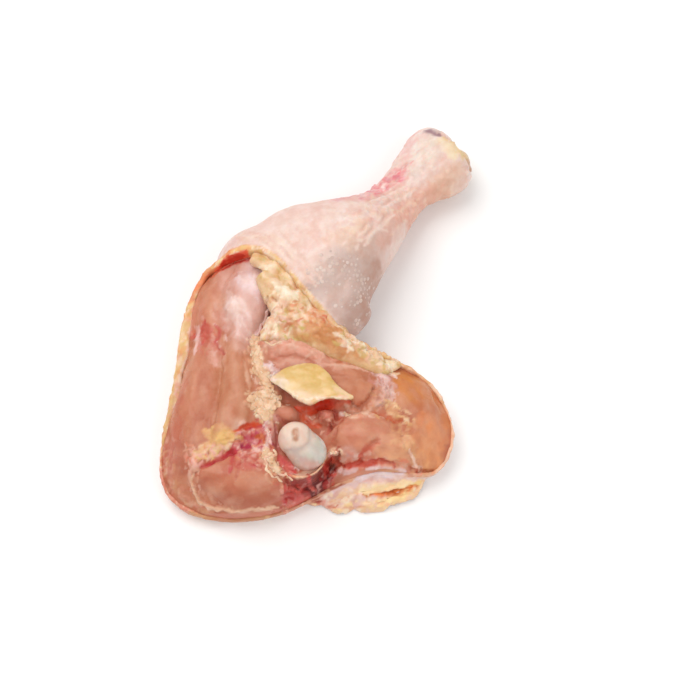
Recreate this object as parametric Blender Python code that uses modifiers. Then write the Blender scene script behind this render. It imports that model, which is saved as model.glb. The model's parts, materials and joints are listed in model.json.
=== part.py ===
"""A raw chicken leg: the drumstick with its thigh still on, lying on its skin side.

The cut inner face of the thigh looks up, with the ball of the thigh bone bare in the middle of
it, and the drumstick folds back from the knee. Metres, +Z up. The origin is on the table, straight
below the centre of the hip ball: +Y runs towards the knee and +X towards the hock.
"""

import math

import bmesh
import bpy
from mathutils import Vector

MM = 0.001

# Driving dimensions.
SKIN = 2.4 * MM  # skin with the fat on its inner side
GAP = 0.3 * MM  # clearance between pieces that touch
SUNK = 1.5 * MM  # how far the soft underside is pressed flat by the table
BONE_SHAFT = 4.4 * MM
TABLE_REACH = 300 * MM

# How finely each form is rebuilt, and how many triangles it keeps before it is cut.
FINE_VOXEL = 1.0 * MM
BODY_VOXEL = 1.5 * MM
SKIN_TRIANGLES = 2900
MEAT_TRIANGLES = 2400
BONE_TRIANGLES = 360
FAT_TRIANGLES = 320

# The rim of the cut skin, seen from above: x, y and height of the rim, in millimetres. It starts
# at the knee and runs down the front of the thigh, across the hip and back along the crook.
RIM = [
    (-22, 88, 38),
    (-36, 87, 30),
    (-46, 80, 22),
    (-52, 66, 18),
    (-55, 46, 17),
    (-58, 25, 15),
    (-61, 8, 13),
    (-62, -6, 11),
    (-58, -18, 8),
    (-47, -26, 7),
    (-30, -29, 7),
    (-12, -27, 7),
    (3, -21, 7),
    (18, -14, 10),
    (34, -10, 14),
    (49, -10, 13),
    (59, -7, 10),
    (66, 1, 11),
    (68, 11, 13),
    (64, 22, 15),
    (57, 32, 18),
    (45, 39, 23),
    (31, 44, 29),
    (20, 50, 33),
    (9, 60, 36),
    (-1, 71, 38),
    (-10, 82, 40),
]
THIGH_MIDDLE = Vector((0, 25)) * MM

# The drumstick along its middle line: x, y, z, half width and half height, in millimetres.
DRUMSTICK = [
    (-20, 66, 20, 15, 13),
    (-10, 71, 20.5, 27, 18.5),
    (0.5, 78.5, 21.5, 35, 21.5),
    (9, 88, 22, 31.5, 23),
    (19.5, 96.5, 21.5, 24, 22),
    (30, 105.5, 19, 17.5, 18),
    (37, 113.5, 16.5, 13.3, 14),
    (42, 120.5, 15, 11.8, 11.5),
    (47.5, 128, 14.5, 11.7, 11),
    (53.5, 134.5, 14, 14, 12.5),
    (60, 140.5, 14, 17, 14.8),
    (66, 145.5, 14, 17, 14.8),
    (69, 148, 14, 14.5, 13),
]
SHANK_END = 8  # the flesh stops at this station, before the bare knob of the hock
KNEE = (-13, 84, 20.5, 26, 22.5, 21)  # middle and half sizes of the knee's round back

# Muscles, fat and loose skin are drawn out along stations: x, y and height of the crest, then half
# width and half height, in millimetres.
MUSCLES = {
    "front of the thigh": [
        (-34, 84, 27, 5, 7),
        (-37, 68, 28, 10, 10),
        (-39, 50, 27, 9, 10),
        (-41, 33, 28, 11, 11),
        (-45, 15, 26, 12, 11),
        (-49, 0, 20, 10, 9),
        (-53, -10, 14, 5, 6),
    ],
    "inner front": [
        (-27, 58, 29, 4, 8),
        (-28, 42, 32, 8, 12),
        (-27, 24, 33, 9, 13),
        (-30, 8, 32, 10, 12),
        (-33, -4, 28, 7, 9),
    ],
    "hip": [
        (-45, -12, 21, 6, 8),
        (-34, -13, 27, 11, 12),
        (-22, -14, 29, 12.5, 13),
        (-10, -14, 25, 10, 11),
        (-1, -15, 17, 5, 7),
    ],
    "flank": [
        (-56, -4, 15, 3, 5),
        (-52, -14, 12, 4, 5),
        (-43, -20, 11, 4.5, 5),
        (-30, -23, 10, 4, 4),
        (-18, -23.5, 9, 3, 3.5),
    ],
    "beside the bone": [
        (-17, 50, 31, 4, 8),
        (-15, 34, 31.5, 6, 8),
        (-14, 20, 31, 7, 8),
        (-15, 5, 30, 7, 8),
        (-14, -6, 27, 5, 8),
    ],
    "middle": [
        (-12, 34, 31, 6, 8),
        (0, 31, 33, 11, 9),
        (16, 29, 33, 12, 9),
        (29, 24, 31, 10, 9),
        (38, 20, 26, 5, 7),
    ],
    "strip under the knee": [
        (-19, 46, 32, 4, 7),
        (-8, 45, 34.5, 6, 8),
        (4, 41, 35, 5, 8),
        (14, 35, 32, 3, 7),
    ],
    "inner rear": [
        (10, 3, 26, 5, 8),
        (20, 4, 30, 9.5, 9.5),
        (31, 5, 30, 10, 9.5),
        (42, 6, 25, 7, 8),
    ],
    "rear": [
        (40, 34, 24, 5, 8),
        (47, 27, 26, 9.5, 11),
        (51, 18, 24.5, 10, 11),
        (53.5, 8, 20, 8.5, 9),
        (51, -1, 14, 5, 6),
    ],
    "lower rear": [
        (24, -5, 20, 5, 7),
        (34, -2, 24, 8, 10),
        (45, -1, 22, 8.5, 9),
        (53, -2, 15, 5, 6),
    ],
    "knee": [
        (-24, 86, 33, 7, 8),
        (-22, 76, 36, 12, 11),
        (-24, 62, 34.5, 11, 11),
        (-25, 50, 29, 7, 9),
    ],
}

KNEE_FAT = [
    (-15, 74, 36, 4.5, 6),
    (-7, 62, 36.5, 7.5, 7),
    (2, 52, 35.5, 8, 7.5),
    (14, 43.5, 32, 6, 6.5),
    (26, 37, 28, 4.5, 5.5),
    (37, 33.5, 23.5, 3, 4.5),
]

FAT_LEAF = [
    (-13, 27, 33.5, 3, 1.6),
    (-4, 26, 35, 7, 2.2),
    (6, 25, 35.5, 8, 2.4),
    (15, 21.5, 35, 6, 2.1),
    (24, 18, 33.5, 2.5, 1.6),
]

# The skin that was left hanging past the meat at the hip: a slope below the meat and its outer edge.
SKIN_FLAP = [
    [(2, -17, 8, 5, 4), (16, -16, 12, 6.5, 6), (30, -13, 14.5, 7, 7), (45, -12, 13, 7, 6.5), (58, -8, 10, 5, 5)],
    [(10, -20, 4.5, 4, 3), (24, -21, 5.2, 5, 3.4), (39, -20, 5.6, 6, 3.6), (53, -15, 5.2, 6, 3.2)],
]

THIGH_BONE_SHAFT = [(3, -3, 23), (-4, 12, 19), (-13, 30, 17), (-20, 48, 17), (-24, 64, 19)]
THIGH_BONE_ENDS = [
    # x, y, z and the half sizes of each knob: the hip ball, its shoulder and the two knee knuckles
    (-1, 0, 31, 7, 7, 7),
    (4.5, -5, 25, 9.5, 9, 7.5),
    (-29, 64, 18, 6, 8, 8),
    (-21, 65, 18, 6, 8, 8),
]
SHIN_BONE_SHAFT = [(-4, 78, 20), (9, 89, 20), (27, 103, 18), (42, 121, 14.5), (53, 136, 14), (63, 145, 14)]
SHIN_BONE_ENDS = [
    # the head under the knee, then the two knuckles that show at the hock
    (-4, 78, 20, 8, 9, 8),
    (62, 149.5, 15.5, 8.5, 8, 9),
    (70, 142, 13.5, 8, 7.5, 8.5),
]


def clear_scene():
    for obj in list(bpy.data.objects):
        bpy.data.objects.remove(obj, do_unlink=True)


def collection_named(name):
    made = bpy.data.collections.new(name)
    bpy.context.scene.collection.children.link(made)
    return made


def material(name, colour, roughness):
    made = bpy.data.materials.new(name)
    made.use_nodes = True
    shader = made.node_tree.nodes["Principled BSDF"]
    shader.inputs["Base Color"].default_value = (*colour, 1)
    shader.inputs["Roughness"].default_value = roughness
    shader.inputs["Metallic"].default_value = 0
    made.diffuse_color = (*colour, 1)
    return made


def eased(stations, share, closed=False):
    """The station at a share of the way along, on a smooth curve through all of them."""
    spans = len(stations) if closed else len(stations) - 1
    place = share * spans
    span = min(int(place), spans - 1)
    t = place - span

    def pick(index):
        if closed:
            return stations[index % len(stations)]
        return stations[max(0, min(len(stations) - 1, index))]

    before, start, end, after = (pick(span + step) for step in (-1, 0, 1, 2))
    return [
        0.5 * (2 * b + (c - a) * t + (2 * a - 5 * b + 4 * c - d) * t**2 + (3 * b - a - 3 * c + d) * t**3)
        for a, b, c, d in zip(before, start, end, after)
    ]


def heading(stations, share):
    """The direction of the line of stations, as a unit vector."""
    step = 0.01
    behind = Vector(eased(stations, max(0.0, share - step))[:3])
    ahead = Vector(eased(stations, min(1.0, share + step))[:3])
    return (ahead - behind).normalized()


def section_point(stations, share, angle, fullness=1.0, less=0.0):
    """A point of the oval cross-section at a share of the way along, at an angle from its right side."""
    x, y, z, half_width, half_height = eased(stations, share)
    along = heading(stations, share)
    side = along.cross(Vector((0, 0, 1))).normalized()
    up = side.cross(along)
    middle = Vector((x, y, z)) * MM
    out = side * math.cos(angle) * (half_width * MM - less) + up * math.sin(angle) * (half_height * MM - less)
    return middle + out * fullness


def no_lower(point, lowest):
    return Vector((point.x, point.y, max(point.z, lowest)))


def lobe(crests, lowest=-SUNK, sides=16, rings=14):
    """A muscle or a lump of fat: a sphere drawn out under its crest, blunt at both ends."""
    stations = [(x, y, crest - half_height, *halves, half_height) for x, y, crest, *halves, half_height in crests]
    form = bmesh.new()
    bmesh.ops.create_uvsphere(form, u_segments=sides, v_segments=rings, radius=1)
    for vert in form.verts:
        share = (1 - max(-1.0, min(1.0, vert.co.z))) / 2
        radius = math.hypot(vert.co.x, vert.co.y)
        angle = math.atan2(vert.co.y, vert.co.x)
        vert.co = no_lower(section_point(stations, share, angle, fullness=radius**0.6), lowest)
    bmesh.ops.recalc_face_normals(form, faces=form.faces)
    return form


def knob(x, y, z, half_x, half_y, half_z, less=0.0, lowest=-SUNK):
    """The rounded end of a bone, or the round back of the knee."""
    form = bmesh.new()
    bmesh.ops.create_uvsphere(form, u_segments=24, v_segments=16, radius=1)
    halves = Vector((half_x, half_y, half_z)) * MM - Vector((less, less, less))
    for vert in form.verts:
        out = Vector(c * half for c, half in zip(vert.co, halves))
        vert.co = no_lower(Vector((x, y, z)) * MM + out, lowest)
    return form


def loft(rings):
    """A closed form through rings with the same number of points, with a flat face at each end."""
    form = bmesh.new()
    rows = [[form.verts.new(point) for point in ring] for ring in rings]
    for lower, upper in zip(rows, rows[1:]):
        for i in range(len(lower)):
            j = (i + 1) % len(lower)
            form.faces.new((lower[i], lower[j], upper[j], upper[i]))
    form.faces.new(rows[0][::-1])
    form.faces.new(rows[-1])
    bmesh.ops.recalc_face_normals(form, faces=form.faces)
    return form


def sleeve(stations, less=0.0, lowest=-SUNK, sides=28, rings=30):
    """A tube of oval sections with flat ends, drawn in by a wall's thickness if one is given."""
    turns = [2 * math.pi * i / sides for i in range(sides)]
    shares = [ring / (rings - 1) for ring in range(rings)]
    return loft(
        [[no_lower(section_point(stations, share, turn, less=less), lowest) for turn in turns] for share in shares]
    )


def rim_ring(inset, height, points=64):
    """The skin's rim drawn in towards the thigh's middle. Both arguments are functions of its height."""
    ring = []
    for i in range(points):
        x, y, rim = (value * MM for value in eased(RIM, i / points, closed=True))
        towards = (THIGH_MIDDLE - Vector((x, y))).normalized()
        place = Vector((x, y)) + towards * inset(rim)
        ring.append(Vector((*place, height(rim))))
    return ring


def foot(rim):
    """How far the underside of the thigh draws in between the rim and the table."""
    return 2 * MM + 0.42 * rim


def thigh_outside():
    """The outside of the thigh: flat where it lies, round at the sides, with a soft rim."""
    return loft(
        [
            rim_ring(foot, lambda rim: -SUNK),
            rim_ring(lambda rim: 0.42 * foot(rim), lambda rim: 0.16 * rim),
            rim_ring(lambda rim: 0.1 * foot(rim), lambda rim: 0.5 * rim),
            rim_ring(lambda rim: 0, lambda rim: rim - 0.8 * MM),
            rim_ring(lambda rim: 0.45 * SKIN, lambda rim: rim + 0.5 * MM),
            rim_ring(lambda rim: 1.1 * SKIN, lambda rim: rim - 0.6 * MM),
            rim_ring(lambda rim: 1.6 * SKIN, lambda rim: rim - 3.5 * MM),
            rim_ring(lambda rim: 22 * MM, lambda rim: 0.3 * rim + 4 * MM),
        ]
    )


def thigh_flesh():
    """The bulk of the thigh's meat, which fills the skin and rises a little towards the middle."""
    wall = SKIN + GAP
    return loft(
        [
            rim_ring(lambda rim: wall + foot(rim), lambda rim: wall),
            rim_ring(lambda rim: wall + 0.5 * foot(rim), lambda rim: wall + 0.12 * rim),
            rim_ring(lambda rim: wall + 0.12 * foot(rim), lambda rim: 0.3 * wall + 0.5 * rim),
            rim_ring(lambda rim: wall, lambda rim: rim - 1.6 * MM),
            rim_ring(lambda rim: wall + 2 * MM, lambda rim: rim - 0.6 * MM),
            rim_ring(lambda rim: wall + 10 * MM, lambda rim: 0.45 * rim + 12 * MM),
            rim_ring(lambda rim: wall + 20 * MM, lambda rim: 0.2 * rim + 17 * MM),
        ]
    )


def window():
    """What the cook's knife opened: everything above the meat inside the rim of the skin."""
    return loft(
        [
            rim_ring(lambda rim: 24 * MM, lambda rim: 0.3 * rim + 6 * MM),
            rim_ring(lambda rim: 1.3 * SKIN, lambda rim: rim - 2.6 * MM),
            rim_ring(lambda rim: 1.0 * SKIN, lambda rim: rim - 0.2 * MM),
            rim_ring(lambda rim: 0.9 * SKIN, lambda rim: 70 * MM),
        ]
    )


def rod(points, radius):
    """A bone's shaft, as stations for a sleeve."""
    return sleeve([(*point, radius / MM, radius / MM) for point in points], sides=14, rings=20)


def mesh_object(name, forms, collection):
    """One object holding the given forms, which may overlap."""
    mesh = bpy.data.meshes.new(name)
    whole = bmesh.new()
    for form in forms:
        form.to_mesh(mesh)
        whole.from_mesh(mesh)
        form.free()
    whole.to_mesh(mesh)
    whole.free()
    obj = bpy.data.objects.new(name, mesh)
    collection.objects.link(obj)
    return obj


def set_down(obj):
    """Replaces the object's mesh with what its modifiers make of it, and drops them."""
    bpy.context.view_layer.update()
    graph = bpy.context.evaluated_depsgraph_get()
    mesh = bpy.data.meshes.new_from_object(obj.evaluated_get(graph))
    obj.modifiers.clear()
    obj.data = mesh


def fused(name, forms, voxel, triangles, collection, softening=3):
    """One closed skin round overlapping forms, softened where they meet, with about that many triangles."""
    obj = mesh_object(name, forms, collection)
    remesh = obj.modifiers.new("One skin", "REMESH")
    remesh.mode = "VOXEL"
    remesh.voxel_size = voxel
    soften = obj.modifiers.new("Soften", "SMOOTH")
    soften.factor = 0.5
    soften.iterations = softening
    set_down(obj)
    obj.data.calc_loop_triangles()
    thin = obj.modifiers.new("Thin out", "DECIMATE")
    thin.ratio = min(1.0, triangles / len(obj.data.loop_triangles))
    thin.use_collapse_triangulate = True
    set_down(obj)
    return obj


def cutter_from(obj, grow, collection):
    """A wire copy of the piece, grown by the clearance that its neighbours keep from it."""
    copy = bpy.data.objects.new(obj.name + "_clearance", obj.data)
    collection.objects.link(copy)
    swell = copy.modifiers.new("Clearance", "DISPLACE")
    swell.strength = grow
    swell.mid_level = 0
    copy.hide_render = True
    copy.display_type = "WIRE"
    return copy


def cut(obj, cutter):
    """Takes the cutter's space out of the object."""
    boolean = obj.modifiers.new("Clear of " + cutter.name, "BOOLEAN")
    boolean.operation = "DIFFERENCE"
    boolean.solver = "EXACT"
    boolean.object = cutter


def helper(name, forms, collection):
    """A cutter, shown as a wire and left out of the model."""
    obj = mesh_object(name, forms, collection)
    obj.hide_render = True
    obj.display_type = "WIRE"
    return obj


def table():
    """The space under the surface that the leg lies on."""
    form = bmesh.new()
    bmesh.ops.create_cube(form, size=1)
    depth = 20 * MM
    for vert in form.verts:
        vert.co = Vector((vert.co.x * TABLE_REACH * 2, vert.co.y * TABLE_REACH * 2, vert.co.z * depth - depth / 2))
    return form


def finish(obj, look):
    obj.data.materials.clear()
    obj.data.materials.append(look)
    obj.data.shade_smooth()


def build():
    clear_scene()
    leg = collection_named("chicken_leg")
    tools = collection_named("cutters")

    thigh_bone = fused(
        "thigh_bone",
        [rod(THIGH_BONE_SHAFT, BONE_SHAFT)] + [knob(*end) for end in THIGH_BONE_ENDS],
        FINE_VOXEL,
        BONE_TRIANGLES,
        leg,
        softening=2,
    )
    shin_bone = fused(
        "shin_bone",
        [rod(SHIN_BONE_SHAFT, BONE_SHAFT)] + [knob(*end) for end in SHIN_BONE_ENDS],
        FINE_VOXEL,
        BONE_TRIANGLES,
        leg,
        softening=2,
    )
    knee_fat = fused("knee_fat", [lobe(KNEE_FAT)], FINE_VOXEL, FAT_TRIANGLES, leg)
    wall = SKIN + GAP
    flesh = [
        thigh_flesh(),
        sleeve(DRUMSTICK[: SHANK_END + 1], less=wall, lowest=1.2 * wall),
        knob(*KNEE, less=wall, lowest=1.2 * wall),
    ]
    meat = fused(
        "meat",
        flesh + [lobe(crests, lowest=1.2 * wall) for crests in MUSCLES.values()],
        BODY_VOXEL,
        MEAT_TRIANGLES,
        leg,
        softening=2,
    )
    fat_leaf = fused("fat_leaf", [lobe(FAT_LEAF)], 0.8 * MM, FAT_TRIANGLES, leg, softening=1)
    skin = fused(
        "skin",
        [thigh_outside(), sleeve(DRUMSTICK), knob(*KNEE)] + [lobe(tongue) for tongue in SKIN_FLAP],
        BODY_VOXEL,
        SKIN_TRIANGLES,
        leg,
    )

    room = {obj.name: cutter_from(obj, GAP, tools) for obj in (thigh_bone, shin_bone, knee_fat, meat)}
    cut(skin, helper("table", [table()], tools))
    cut(skin, helper("window", [window()], tools))
    cut(skin, room["meat"])
    cut(skin, room["knee_fat"])
    cut(skin, room["shin_bone"])
    cut(skin, room["thigh_bone"])
    cut(meat, room["thigh_bone"])
    cut(meat, room["shin_bone"])
    cut(meat, room["knee_fat"])
    cut(knee_fat, room["shin_bone"])
    cut(fat_leaf, room["meat"])
    cut(fat_leaf, room["thigh_bone"])
    cut(fat_leaf, room["knee_fat"])

    finish(skin, material("raw skin", (0.83, 0.66, 0.58), 0.42))
    finish(meat, material("raw meat", (0.66, 0.33, 0.24), 0.36))
    finish(thigh_bone, material("hip cartilage", (0.84, 0.82, 0.79), 0.3))
    finish(shin_bone, material("hock cartilage", (0.72, 0.65, 0.66), 0.34))
    finish(knee_fat, material("knee fat", (0.83, 0.66, 0.38), 0.4))
    finish(fat_leaf, material("leaf of fat", (0.85, 0.72, 0.42), 0.4))


build()
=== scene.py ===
import itertools
import json
import math

import bmesh
import bpy
import numpy as np
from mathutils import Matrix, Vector
from mathutils.bvhtree import BVHTree


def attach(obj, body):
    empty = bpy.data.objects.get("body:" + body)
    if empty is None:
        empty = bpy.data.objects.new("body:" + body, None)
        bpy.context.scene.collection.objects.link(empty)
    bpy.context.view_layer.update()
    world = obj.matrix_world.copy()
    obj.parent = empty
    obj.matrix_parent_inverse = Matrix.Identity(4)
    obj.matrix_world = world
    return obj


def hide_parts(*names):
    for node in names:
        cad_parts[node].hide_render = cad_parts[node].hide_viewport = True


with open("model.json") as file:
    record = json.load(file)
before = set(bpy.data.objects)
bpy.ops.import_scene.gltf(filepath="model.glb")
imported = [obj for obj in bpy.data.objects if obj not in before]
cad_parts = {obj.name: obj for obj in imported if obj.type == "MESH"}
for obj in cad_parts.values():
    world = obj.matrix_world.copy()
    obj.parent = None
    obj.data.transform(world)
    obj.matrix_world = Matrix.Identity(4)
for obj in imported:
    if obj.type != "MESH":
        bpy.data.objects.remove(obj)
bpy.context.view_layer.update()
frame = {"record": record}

# ------------------------------------------------------------------------------------------------
# Camera, floor and light. A long lens looks down on the leg from the hip side. The floor is plain
# and nearly white, and broad soft lamps leave only a faint shadow round the meat.
# ------------------------------------------------------------------------------------------------
MM = 0.001
underside = next(mount for mount in frame["record"]["mounts"] if mount["name"] == "underside")
hip = Vector(underside["pos_m"])  # the point of the table straight below the hip ball

camera = bpy.data.objects.new("camera", bpy.data.cameras.new("camera"))
bpy.context.scene.collection.objects.link(camera)
bpy.context.scene.camera = camera
camera.data.lens = 100
camera.data.sensor_width = 36
camera.location = hip + Vector((21.9, -278.1, 822.4)) * MM
aim = hip + Vector((21.9, 35.1, 47.2)) * MM
camera.rotation_euler = (aim - camera.location).to_track_quat("-Z", "Y").to_euler()

bpy.context.scene.view_settings.view_transform = "Standard"

floor_mesh = bpy.data.meshes.new("floor")
reach = 1.6
floor_mesh.from_pydata(
    [(-reach, -reach, 0), (reach, -reach, 0), (reach, reach, 0), (-reach, reach, 0)], [], [(0, 1, 2, 3)]
)
floor = bpy.data.objects.new("floor", floor_mesh)
bpy.context.scene.collection.objects.link(floor)
floor.data.transform(floor.matrix_world.Translation(hip))
floor_look = bpy.data.materials.new("white floor")
floor_look.use_nodes = True
floor_look.node_tree.nodes["Principled BSDF"].inputs["Base Color"].default_value = (0.96, 0.96, 0.96, 1)
floor_look.node_tree.nodes["Principled BSDF"].inputs["Roughness"].default_value = 0.8
floor.data.materials.append(floor_look)


def lamp(name, place, size, power, colour=(1, 1, 1)):
    """A square soft lamp that points at the leg."""
    made = bpy.data.objects.new(name, bpy.data.lights.new(name, "AREA"))
    bpy.context.scene.collection.objects.link(made)
    made.data.shape = "SQUARE"
    made.data.size = size
    made.data.energy = power
    made.data.color = colour
    made.location = hip + Vector(place)
    made.rotation_euler = (aim - made.location).to_track_quat("-Z", "Y").to_euler()


lamp("key", (-0.38, 0.36, 1.0), 0.9, 7.0, (1, 0.985, 0.96))
lamp("fill", (0.6, -0.5, 0.9), 0.9, 3.6)

sky = bpy.data.worlds.new("soft white room")
bpy.context.scene.world = sky
sky.use_nodes = True
sky.node_tree.nodes["Background"].inputs["Color"].default_value = (1, 1, 1, 1)
sky.node_tree.nodes["Background"].inputs["Strength"].default_value = 0.62

# ------------------------------------------------------------------------------------------------
# The skin, with the fat on its inner side. It is a shallow dish under the thigh, a sleeve round the
# drumstick and a torn flap at the hip. Each is drawn from its own sections, then all are made one.
# ------------------------------------------------------------------------------------------------
SKIN = 2.4  # thickness, in millimetres, as are all the sizes below

# The rim of the cut skin from above: x, y, height, thickness and how far in the meat begins, from the
# knee down the front of the thigh, across the hip and back along the crook.
RIM = [
    (-22, 88, 38, 2.6, 3.0), (-36, 87, 30, 2.6, 3.5), (-46, 80, 22, 2.8, 2.7), (-52, 66, 18, 4.0, 3.4),
    (-55, 46, 17, 5.4, 4.5), (-58, 25, 15, 4.6, 3.7), (-61, 8, 13, 2.4, 1.6), (-62, -6, 11, 1.5, 0.7),
    (-58, -18, 8, 1.4, 0.6), (-47, -26, 7, 1.8, 1.1), (-30, -29, 7, 1.6, 1.0), (-12, -27, 7, 1.4, 0.9),
    (3, -21, 7, 1.4, 1.0), (18, -14, 10, 1.5, 1.2), (34, -10, 14, 1.4, 1.0), (49, -10, 13, 1.3, 0.9),
    (59.5, -8, 9.5, 1.4, 0.8), (66, 0.5, 11, 1.4, 0.7), (68, 11, 13, 1.5, 0.8), (64, 22, 15, 1.6, 0.9),
    (57, 32, 18, 2.0, 1.3), (45, 39, 23, 2.6, 2.0), (31, 44, 29, 3.0, 2.6), (20, 50, 33, 3.0, 2.6),
    (9, 60, 36, 2.8, 2.4), (-1, 71, 38, 2.6, 2.2), (-10, 82, 40, 2.8, 2.4),
]
THIGH_MIDDLE = np.array((0, 25))
# The drumstick along its middle line: x, y, z, half width and half height.
DRUMSTICK = [
    (-20, 66, 20, 15, 13), (-10, 71, 20.5, 27, 18.5), (0.5, 78.5, 21.5, 35, 21.5), (9, 88, 22, 31.5, 23),
    (19.5, 96.5, 21.5, 24, 22), (30, 105.5, 19, 17.5, 18), (37, 113.5, 16.5, 13.3, 14),
    (42, 120.5, 15, 11.8, 11.5), (47.5, 128, 14.5, 11.7, 11), (53.5, 134.5, 14, 14, 12.5),
    (60, 140.5, 14, 17, 14.8), (66, 145.5, 14, 17, 14.8), (69, 148, 14, 14.5, 13),
]
KNEE = (-13, 84, 20.5, 26, 22.5, 21)


def smooth_line(stations, shares, closed=False):
    """The values on a smooth curve through the stations, at each share of the way along."""
    stations = np.asarray(stations, float)
    spans = len(stations) if closed else len(stations) - 1
    place = np.asarray(shares, float) * spans
    span = np.clip(np.floor(place).astype(int), 0, spans - 1)
    t = (place - span)[:, None]
    index = span[:, None] + np.arange(-1, 3)
    index = index % len(stations) if closed else np.clip(index, 0, len(stations) - 1)
    a, b, c, d = (stations[index[:, k]] for k in range(4))
    return 0.5 * (2 * b + (c - a) * t + (2 * a - 5 * b + 4 * c - d) * t**2 + (3 * b - a - 3 * c + d) * t**3)


def noise(points, size, seed=0):
    """Smooth lumps about that size across, from -1 to 1, at each point."""
    place = points / size + 31.7 + 11.3 * seed
    cell = np.floor(place).astype(np.int64)
    part = place - cell
    ease = part * part * (3 - 2 * part)
    total = np.zeros(len(points))
    for corner in itertools.product((0, 1), repeat=3):
        x, y, z = (cell + corner).T
        mixed = (x * 73856093) ^ (y * 19349663) ^ (z * 83492791) ^ (seed * 2654435761)
        mixed = ((mixed ^ (mixed >> 13)) * 1274126177) & 0xFFFFFFFF
        mixed = ((mixed ^ (mixed >> 16)) * 668265263) & 0xFFFFFFFF
        share = np.prod(np.where(corner, ease, 1 - ease), axis=1)
        total += share * (mixed / 2147483647.5 - 1)
    return total


def step(low, high, values):
    """0 below the low value, 1 above the high one, and a smooth step between them."""
    t = np.clip((values - low) / (high - low), 0, 1)
    return t * t * (3 - 2 * t)


def near_line(points, line):
    """How far each point is from a line, seen from above, and how far along it the nearest place is."""
    line = smooth_line(line, np.linspace(0, 1, 6 * len(line)))[:, :2]
    nearest = np.full(len(points), 1e9)
    share = np.zeros(len(points))
    for i, (a, b) in enumerate(zip(line, line[1:])):
        along = b - a
        t = np.clip((points[:, :2] - a) @ along / max(along @ along, 1e-9), 0, 1)
        gap = np.linalg.norm(points[:, :2] - a - t[:, None] * along, axis=1)
        closer = gap < nearest
        nearest[closer] = gap[closer]
        share[closer] = (i + t[closer]) / (len(line) - 1)
    return nearest, share


def rim_ring(around):
    """Points of the rim, their heights, the directions from them to the thigh's middle, and the last two sizes."""
    ring = smooth_line(RIM, np.arange(around) / around, closed=True)
    inward = THIGH_MIDDLE - ring[:, :2]
    return ring[:, :2], ring[:, 2], inward / np.linalg.norm(inward, axis=1)[:, None], ring[:, 3:]


def inside_rim(points):
    """How far inside the rim each point is, seen from above, and the height of the rim beside it."""
    ring, height, _, _ = rim_ring(720)
    out = ring - THIGH_MIDDLE
    turn = np.arctan2(out[:, 1], out[:, 0])
    order = np.argsort(turn)
    away = points[:, :2] - THIGH_MIDDLE
    at = np.arctan2(away[:, 1], away[:, 0])
    reach = np.interp(at, turn[order], np.linalg.norm(out, axis=1)[order], period=2 * math.pi)
    beside = np.interp(at, turn[order], height[order], period=2 * math.pi)
    return reach - np.linalg.norm(away, axis=1), beside


def sections(stations, rings, sides, less=0.0, lowest=-1.5):
    """Oval rings of points across the line of stations."""
    shares = np.linspace(0, 1, rings)
    line = smooth_line(stations, shares)
    along = smooth_line(stations, np.minimum(shares + 0.01, 1))[:, :3] - smooth_line(
        stations, np.maximum(shares - 0.01, 0)
    )[:, :3]
    along /= np.linalg.norm(along, axis=1)[:, None]
    side = np.cross(along, (0, 0, 1))
    side /= np.linalg.norm(side, axis=1)[:, None]
    up = np.cross(side, along)
    turns = np.arange(sides) / sides * 2 * math.pi
    wide = np.cos(turns)[None, :, None] * side[:, None] * (line[:, 3] - less)[:, None, None]
    high = np.sin(turns)[None, :, None] * up[:, None] * (line[:, 4] - less)[:, None, None]
    points = line[:, None, :3] + wide + high
    points[..., 2] = np.maximum(points[..., 2], lowest)
    return points


def skinned(rings):
    """A closed mesh over rings of points, with a flat face at each end, in metres."""
    count, around, _ = rings.shape
    here = np.arange(around)
    after = (here + 1) % around
    rows = [
        np.stack([here, after, after + around, here + around], axis=1) + row * around
        for row in range(count - 1)
    ]
    faces = np.concatenate(rows).tolist()
    faces += [here[::-1].tolist(), (here + (count - 1) * around).tolist()]
    mesh = bpy.data.meshes.new("form")
    mesh.from_pydata((rings.reshape(-1, 3) * MM + np.array(hip)).tolist(), [], faces)
    form = bmesh.new()
    form.from_mesh(mesh)
    bmesh.ops.recalc_face_normals(form, faces=form.faces)
    form.to_mesh(mesh)
    form.free()
    return mesh


def ball(x, y, z, half_x, half_y, half_z, less=0.0, sides=64):
    """A closed oval form round a middle."""
    turns = np.linspace(0.02, math.pi - 0.02, sides // 2)
    around = np.arange(sides) / sides * 2 * math.pi
    rings = np.stack(
        [
            x + (half_x - less) * np.sin(turns)[:, None] * np.cos(around),
            y + (half_y - less) * np.sin(turns)[:, None] * np.sin(around),
            z + (half_z - less) * np.cos(turns)[:, None] * np.ones(sides),
        ],
        axis=2,
    )
    return skinned(rings)


def made_by(name, meshes, *steps):
    """One mesh object from some meshes, with modifiers applied in turn, each a kind and its settings."""
    whole = bmesh.new()
    for mesh in meshes:
        whole.from_mesh(mesh)
    joined = bpy.data.meshes.new(name)
    whole.to_mesh(joined)
    whole.free()
    made = bpy.data.objects.new(name, joined)
    bpy.context.scene.collection.objects.link(made)
    for kind, settings in steps:
        modifier = made.modifiers.new(kind, kind)
        for setting, value in settings.items():
            setattr(modifier, setting, value)
    bpy.context.view_layer.update()
    graph = bpy.context.evaluated_depsgraph_get()
    mesh = bpy.data.meshes.new_from_object(made.evaluated_get(graph))
    made.modifiers.clear()
    made.data = mesh
    mesh.name = name
    mesh.shade_smooth()
    return made


def remesh(size):
    return "REMESH", {"mode": "VOXEL", "voxel_size": size * MM}


def soften(times, factor=0.5):
    return "SMOOTH", {"factor": factor, "iterations": times}


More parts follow.
